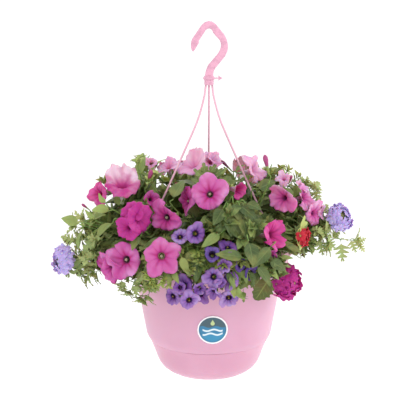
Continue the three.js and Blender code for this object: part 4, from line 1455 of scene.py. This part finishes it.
def make_plant(name, plant, masters, seed):
    rng = random.Random(seed)
    family, first, last = plant["blooms"]
    style = STYLES[family]
    azimuth, radius = plant["crown"]
    crown = polar(azimuth, radius * MM, SOIL_Z + 0.008)
    blooms = [bloom_of(family, number) for number in range(first, last + 1)]
    smaller = [small_bloom(None, *row[2:]) for row in SMALL_BLOOMS.get(name, [])]
    lines = [stem_line(crown, bloom.foot, bloom.axis) for bloom in blooms + smaller]
    pieces = []
    for line in lines:
        pieces += leaves_along(line, style, masters["leaves"], rng, 0.5, 1.8)
    if family != "verbena":
        for bloom in blooms + smaller:
            pieces.append(stamp(masters["calyx"], bloom.matrix(bloom.radius * 0.95), rng.random()))
    for end in shoot_ends(name, plant, crown, blooms, rng):
        line = stem_line(crown, end, None, rng)
        lines.append(line)
        pieces += leaves_along(line, style, masters["leaves"], rng)
        if (end - HEART).length > 0.11 or rng.random() < 0.35:
            pieces += tuft(line, style, masters, rng)
    for kind, stalk, tip, tone in SHOWN_LEAVES.get(name, []):
        foot, end = spot(stalk), spot(tip)
        if kind == "frond":
            lines.append(side_stem(lines, foot))
        else:
            lines.append(stem_line(crown, foot, (end - foot).normalized()))
        pieces.append(stamp(masters[kind], shown_matrix(foot, end, kind), tone))
    for place, azimuth, elevation, length, skin in BUDS.get(name, []):
        foot, way = spot(place), facing(azimuth, elevation)
        lines.append(stem_line(crown, foot, way))
        where = Matrix.Translation(foot) @ upright_to(way) @ Matrix.Scale(length * MM, 4)
        pieces.append(stamp(masters[f"{skin} bud"], where))
    stems = stems_mesh(f"{name}_foliage", lines, style["stem"] * MM)
    place_piece(joined(f"{name}_foliage", [stems] + pieces), f"{name}_plant")


# --- blooms in place

# Each petunia's colour, the form of its lobes and how far it is turned in its own plane.
PETUNIA_LOOKS = {
    1: ("hot", STAR | dict(sinus=0.2), 12),
    2: ("deep", PLAIN, 0),
    3: ("rose", STAR, 6),
    4: ("ruby", FRILLED, 30),
    5: ("blushed", STANDING | dict(sinus=0.2, uneven=0.22, ruffle=0.1), 36),
    6: ("hot", FRILLED | dict(bend=0.2, uneven=0.3, ruffle=0.13), 8),
    7: ("deep", FRILLED, 10),
    8: ("deep", FOLDED, -30),
    10: ("pale", STANDING, 44),
    11: ("mauve", STANDING | dict(sinus=0.2, painted_upper_light=0.5, uneven=0.3, droop=0.15), 30),
    12: ("mauve", FOLDED | dict(uneven=0.2), 10),
    13: ("mauve", FOLDED, 40),
    14: ("ruby", FOLDED | dict(uneven=0.4), 0),
    15: ("pale", FOLDED | dict(ruffle=0.13), 20),
    16: ("pale", FOLDED, 0),
    17: ("pale", FRILLED, 10),
    18: ("pale", FRILLED, 0),
    19: ("rose", PLAIN, 30),
    20: ("deep", FRILLED, 20),
    21: ("hot", STAR, 0),
    22: ("rose", ROUND, 50),
}
HALF_OPEN = 9  # the petunia whose bloom is still half folded


def lobed_in_place(bloom, look, profile, form, seed, turn, back):
    """The petals of a bloom that has no solid of its own, laid in its place."""
    depth = bloom.depth / bloom.radius
    petals = lobed_bloom("petals", profile, depth, 40, form, seed, 0.03, FRONTS[look], back)
    petals.data.transform(bloom.matrix(bloom.radius, turn))
    return petals


def small_petals(host):
    """The small blooms that grow beside one with a solid."""
    made = []
    for number, (beside, look, *row) in enumerate(sum(SMALL_BLOOMS.values(), [])):
        if beside == host:
            profile, back = PETUNIA_PROFILE, PALE_BACK if look == "pale" else PINK_BACK
            if look in ("violet", "dark"):
                profile, back = CALIBRACHOA_PROFILE, VIOLET_BACK
            bloom = small_bloom(host, *row)
            made.append(lobed_in_place(bloom, look, profile, FOLDED, 40 + number, 40 * number, back))
    return made


def make_petunias():
    stamens = stamens_master(STAMEN)
    for number, (look, form, turn) in PETUNIA_LOOKS.items():
        bloom = bloom_of("petunia", number)
        name = f"petunia_{number:02d}"
        size = bloom.depth / 1.17
        back = PALE_BACK if look in ("pale", "blushed") else PINK_BACK
        petals = lobed_bloom(name, PETUNIA_PROFILE, 1.15, 60, form, number, 0.016, FRONTS[look], back)
        petals.data.transform(bloom.matrix(size, turn))
        parts = [petals]
        if look not in ("ruby", "pale", "mauve") and not form["stand"]:
            parts.append(stamp(stamens, bloom.matrix(size)))
        place_piece(joined(name, parts + small_petals(bloom.node)), bloom.node)
    bloom = bloom_of("petunia", HALF_OPEN)
    name = f"petunia_{HALF_OPEN:02d}"
    half_open = lobed_bloom(name, BUD_PROFILE, 2.0, 40, FRILLED, 5, 0.03, FRONTS["ruby"], MOUTH_BACK)
    half_open.data.transform(bloom.matrix(bloom.depth / 2.0))
    place_piece(half_open, bloom.node)
    discard(stamens)


def make_calibrachoas():
    form = ROUND | dict(ruffle=0.07, uneven=0.2, bend=0.36)
    masters = []
    for seed, look in ((2, "violet"), (7, "soft"), (11, "violet")):
        coats = FRONTS[look], VIOLET_BACK
        masters.append(lobed_bloom("calibrachoa", CALIBRACHOA_PROFILE, 1.1, 40, form, seed, 0.03, *coats))
    stamens = stamens_master(YELLOW_STAMEN)
    for number in range(1, 13):
        bloom = bloom_of("calibrachoa", number)
        size = bloom.depth / 1.13
        petals = stamp(masters[number % 3], bloom.matrix(size, number * 63))
        inner = stamp(stamens, bloom.matrix(size * 1.1) @ Matrix.Translation((0, 0, -0.08)))
        piece = joined(f"calibrachoa_{number:02d}", [petals, inner] + small_petals(bloom.node))
        place_piece(piece, bloom.node)
    discard(*masters, stamens)


# A head's colour, how far it spreads past its solid's radius, how many florets it holds, their
# size as a share of the head, and how far round the head the first and last of them sit.
VERBENA_HEADS = {
    1: ("lilac", 1.04, 22, 0.46, (14, 104)),
    2: ("magenta", 1.0, 8, 0.5, (40, 100)),
    3: ("lilac", 1.0, 24, 0.38, (10, 100)),
    4: ("lilac", 1.04, 34, 0.42, (17, 96)),
    5: ("magenta", 1.1, 36, 0.44, (6, 100)),
    6: ("red", 1.1, 12, 0.55, (10, 80)),
}

# How far the petals of a floret part, for each colour of head.
PARTINGS = {"lilac": 0.42, "magenta": 0.12, "red": 0.3}

# Broad florets before the magenta head at the left: place, facing, radius and depth.
BROAD_HOST = "verbena_bloom_02"
BROAD_FLORETS = [
    ((-98, -126, 70), 46, 10, 24, 26),
    ((-117, -126, 54), -28, -8, 20, 20),
    ((-110, -120, 80), -24, 40, 17, 18),
]


def broad_florets():
    made = []
    for number, row in enumerate(BROAD_FLORETS):
        bloom = small_bloom(BROAD_HOST, *row)
        back = FRONTS["magenta"]
        seed = 60 + number
        made.append(lobed_in_place(bloom, "magenta", PETUNIA_PROFILE, FRILLED, seed, 50 * number, back))
    return made


def floret_places(count, size, nearest, furthest, rng):
    """Where the florets of a head of radius 1 sit, from its top down its sides."""
    places = []
    for i in range(count):
        tilt = math.radians(nearest + (furthest - nearest) * math.sqrt((i + 0.3) / count))
        turn = i * GOLDEN_ANGLE
        way = Vector((math.sin(tilt) * math.cos(turn), math.sin(tilt) * math.sin(turn), math.cos(tilt)))
        reach = rng.uniform(0.74, 1.06)
        place = Vector((way.x * 0.92 * reach, way.y * 0.92 * reach, 0.36 + way.z * 0.55 * reach))
        sway = Vector((rng.uniform(-1, 1), rng.uniform(-1, 1), rng.uniform(-1, 1)))
        way = (way + sway * 0.3).normalized()
        tilted = upright_to(way) @ Matrix.Rotation(rng.uniform(0, 6), 4, "Z")
        scaled = Matrix.Scale(size * rng.uniform(0.85, 1.15), 4)
        places.append(Matrix.Translation(place) @ tilted @ scaled)
    return places


def make_verbenas():
    masters = {tint: floret_master(tint, parting) for tint, parting in PARTINGS.items()}
    core = turned("head core", [(0.1, 0.1), (0.45, 0.25), (0.6, 0.45), (0.4, 0.66), (0.12, 0.74)], 12)
    smooth(core, 60)
    coat(core, HEAD_CORE)
    for number, (tint, spread, count, size, (nearest, furthest)) in VERBENA_HEADS.items():
        bloom = bloom_of("verbena", number)
        head = bloom.matrix(bloom.radius * spread)
        places = floret_places(count, size, nearest, furthest, random.Random(30 + number))
        pieces = [stamp(core, head)] + [stamp(masters[tint], head @ place) for place in places]
        if bloom.node == BROAD_HOST:
            pieces += broad_florets()
        place_piece(joined(f"verbena_{number:02d}", pieces), bloom.node)
    discard(*masters.values(), core)


def discard(*masters):
    for master in masters:
        bpy.data.objects.remove(master)


def leaf_masters():
    """The leaves of each family that are scattered by rule, and their young ones."""
    petunia = [
        leaf_master("petunia leaf", PETUNIA_LEAF, (4, 6), ovate(widest), droop, fold)
        for widest, droop, fold in ((0.3, 0.18, 0.35), (0.26, 0.32, 0.2), (0.22, 0.05, 0.5))
    ]
    calibrachoa = [
        leaf_master("calibrachoa leaf", CALIBRACHOA_LEAF, (2, 4), narrow(widest), droop, fold, 0.02)
        for widest, droop, fold in ((0.17, 0.15, 0.3), (0.22, 0.3, 0.2))
    ]
    verbena = [
        leaf_master("verbena leaf", VERBENA_LEAF, (2, 11), cut(widest, 3.5, 0.1, 0.8), droop, fold)
        for widest, droop, fold in ((0.5, 0.15, 0.25), (0.44, 0.3, 0.15))
    ]
    young = [
        leaf_master("young leaf", YOUNG_LEAF, (2, 5), ovate(widest), droop, fold)
        for widest, droop, fold in ((0.3, 0.1, 0.45), (0.23, 0.2, 0.3))
    ]
    return {
        "petunia": dict(leaves=petunia, young=young),
        "calibrachoa": dict(leaves=calibrachoa, young=calibrachoa),
        "verbena": dict(leaves=verbena, young=verbena),
    }


def single_masters():
    """What is placed one by one: buds, sepals, and the leaves that show between the blooms."""
    return {
        "calyx": calyx_master(),
        "pink bud": bud_master(BUD_SKIN),
        "maroon bud": bud_master(MAROON_SKIN, 0.75),
        "broad": leaf_master("broad leaf", PETUNIA_LEAF, (8, 12), ovate(0.3), 0.12, 0.25, 0.008),
        "slim": leaf_master("slim leaf", PETUNIA_LEAF, (8, 12), ovate(0.2), 0.12, 0.3, 0.008),
        "lobed": leaf_master("lobed leaf", YOUNG_LEAF, (4, 16), cut(0.4, 2.5), 0.12, 0.2, 0.01),
        "frond": leaf_master("frond", VERBENA_LEAF, (4, 27), cut(0.5, 3.5, 0.06, 1.6), 0.1, 0.1, 0.014),
        "scalloped": leaf_master(
            "scalloped leaf", SCALLOPED_LEAF, (8, 24), scalloped(0.36), 0.12, 0.2, 0.008
        ),
    }


def make_plants():
    singles = single_masters()
    leaves = leaf_masters()
    for index, (name, plant) in enumerate(PLANTS.items()):
        make_plant(name, plant, leaves[plant["blooms"][0]] | singles, 100 + index)
    scattered = {blade for family in leaves.values() for kind in family.values() for blade in kind}
    discard(*singles.values(), *scattered)


# --- the whole

set_camera()
set_studio()
make_pot()
make_bowl()
make_soil()
make_label()
make_hanger()
make_petunias()
make_calibrachoas()
make_verbenas()
make_plants()
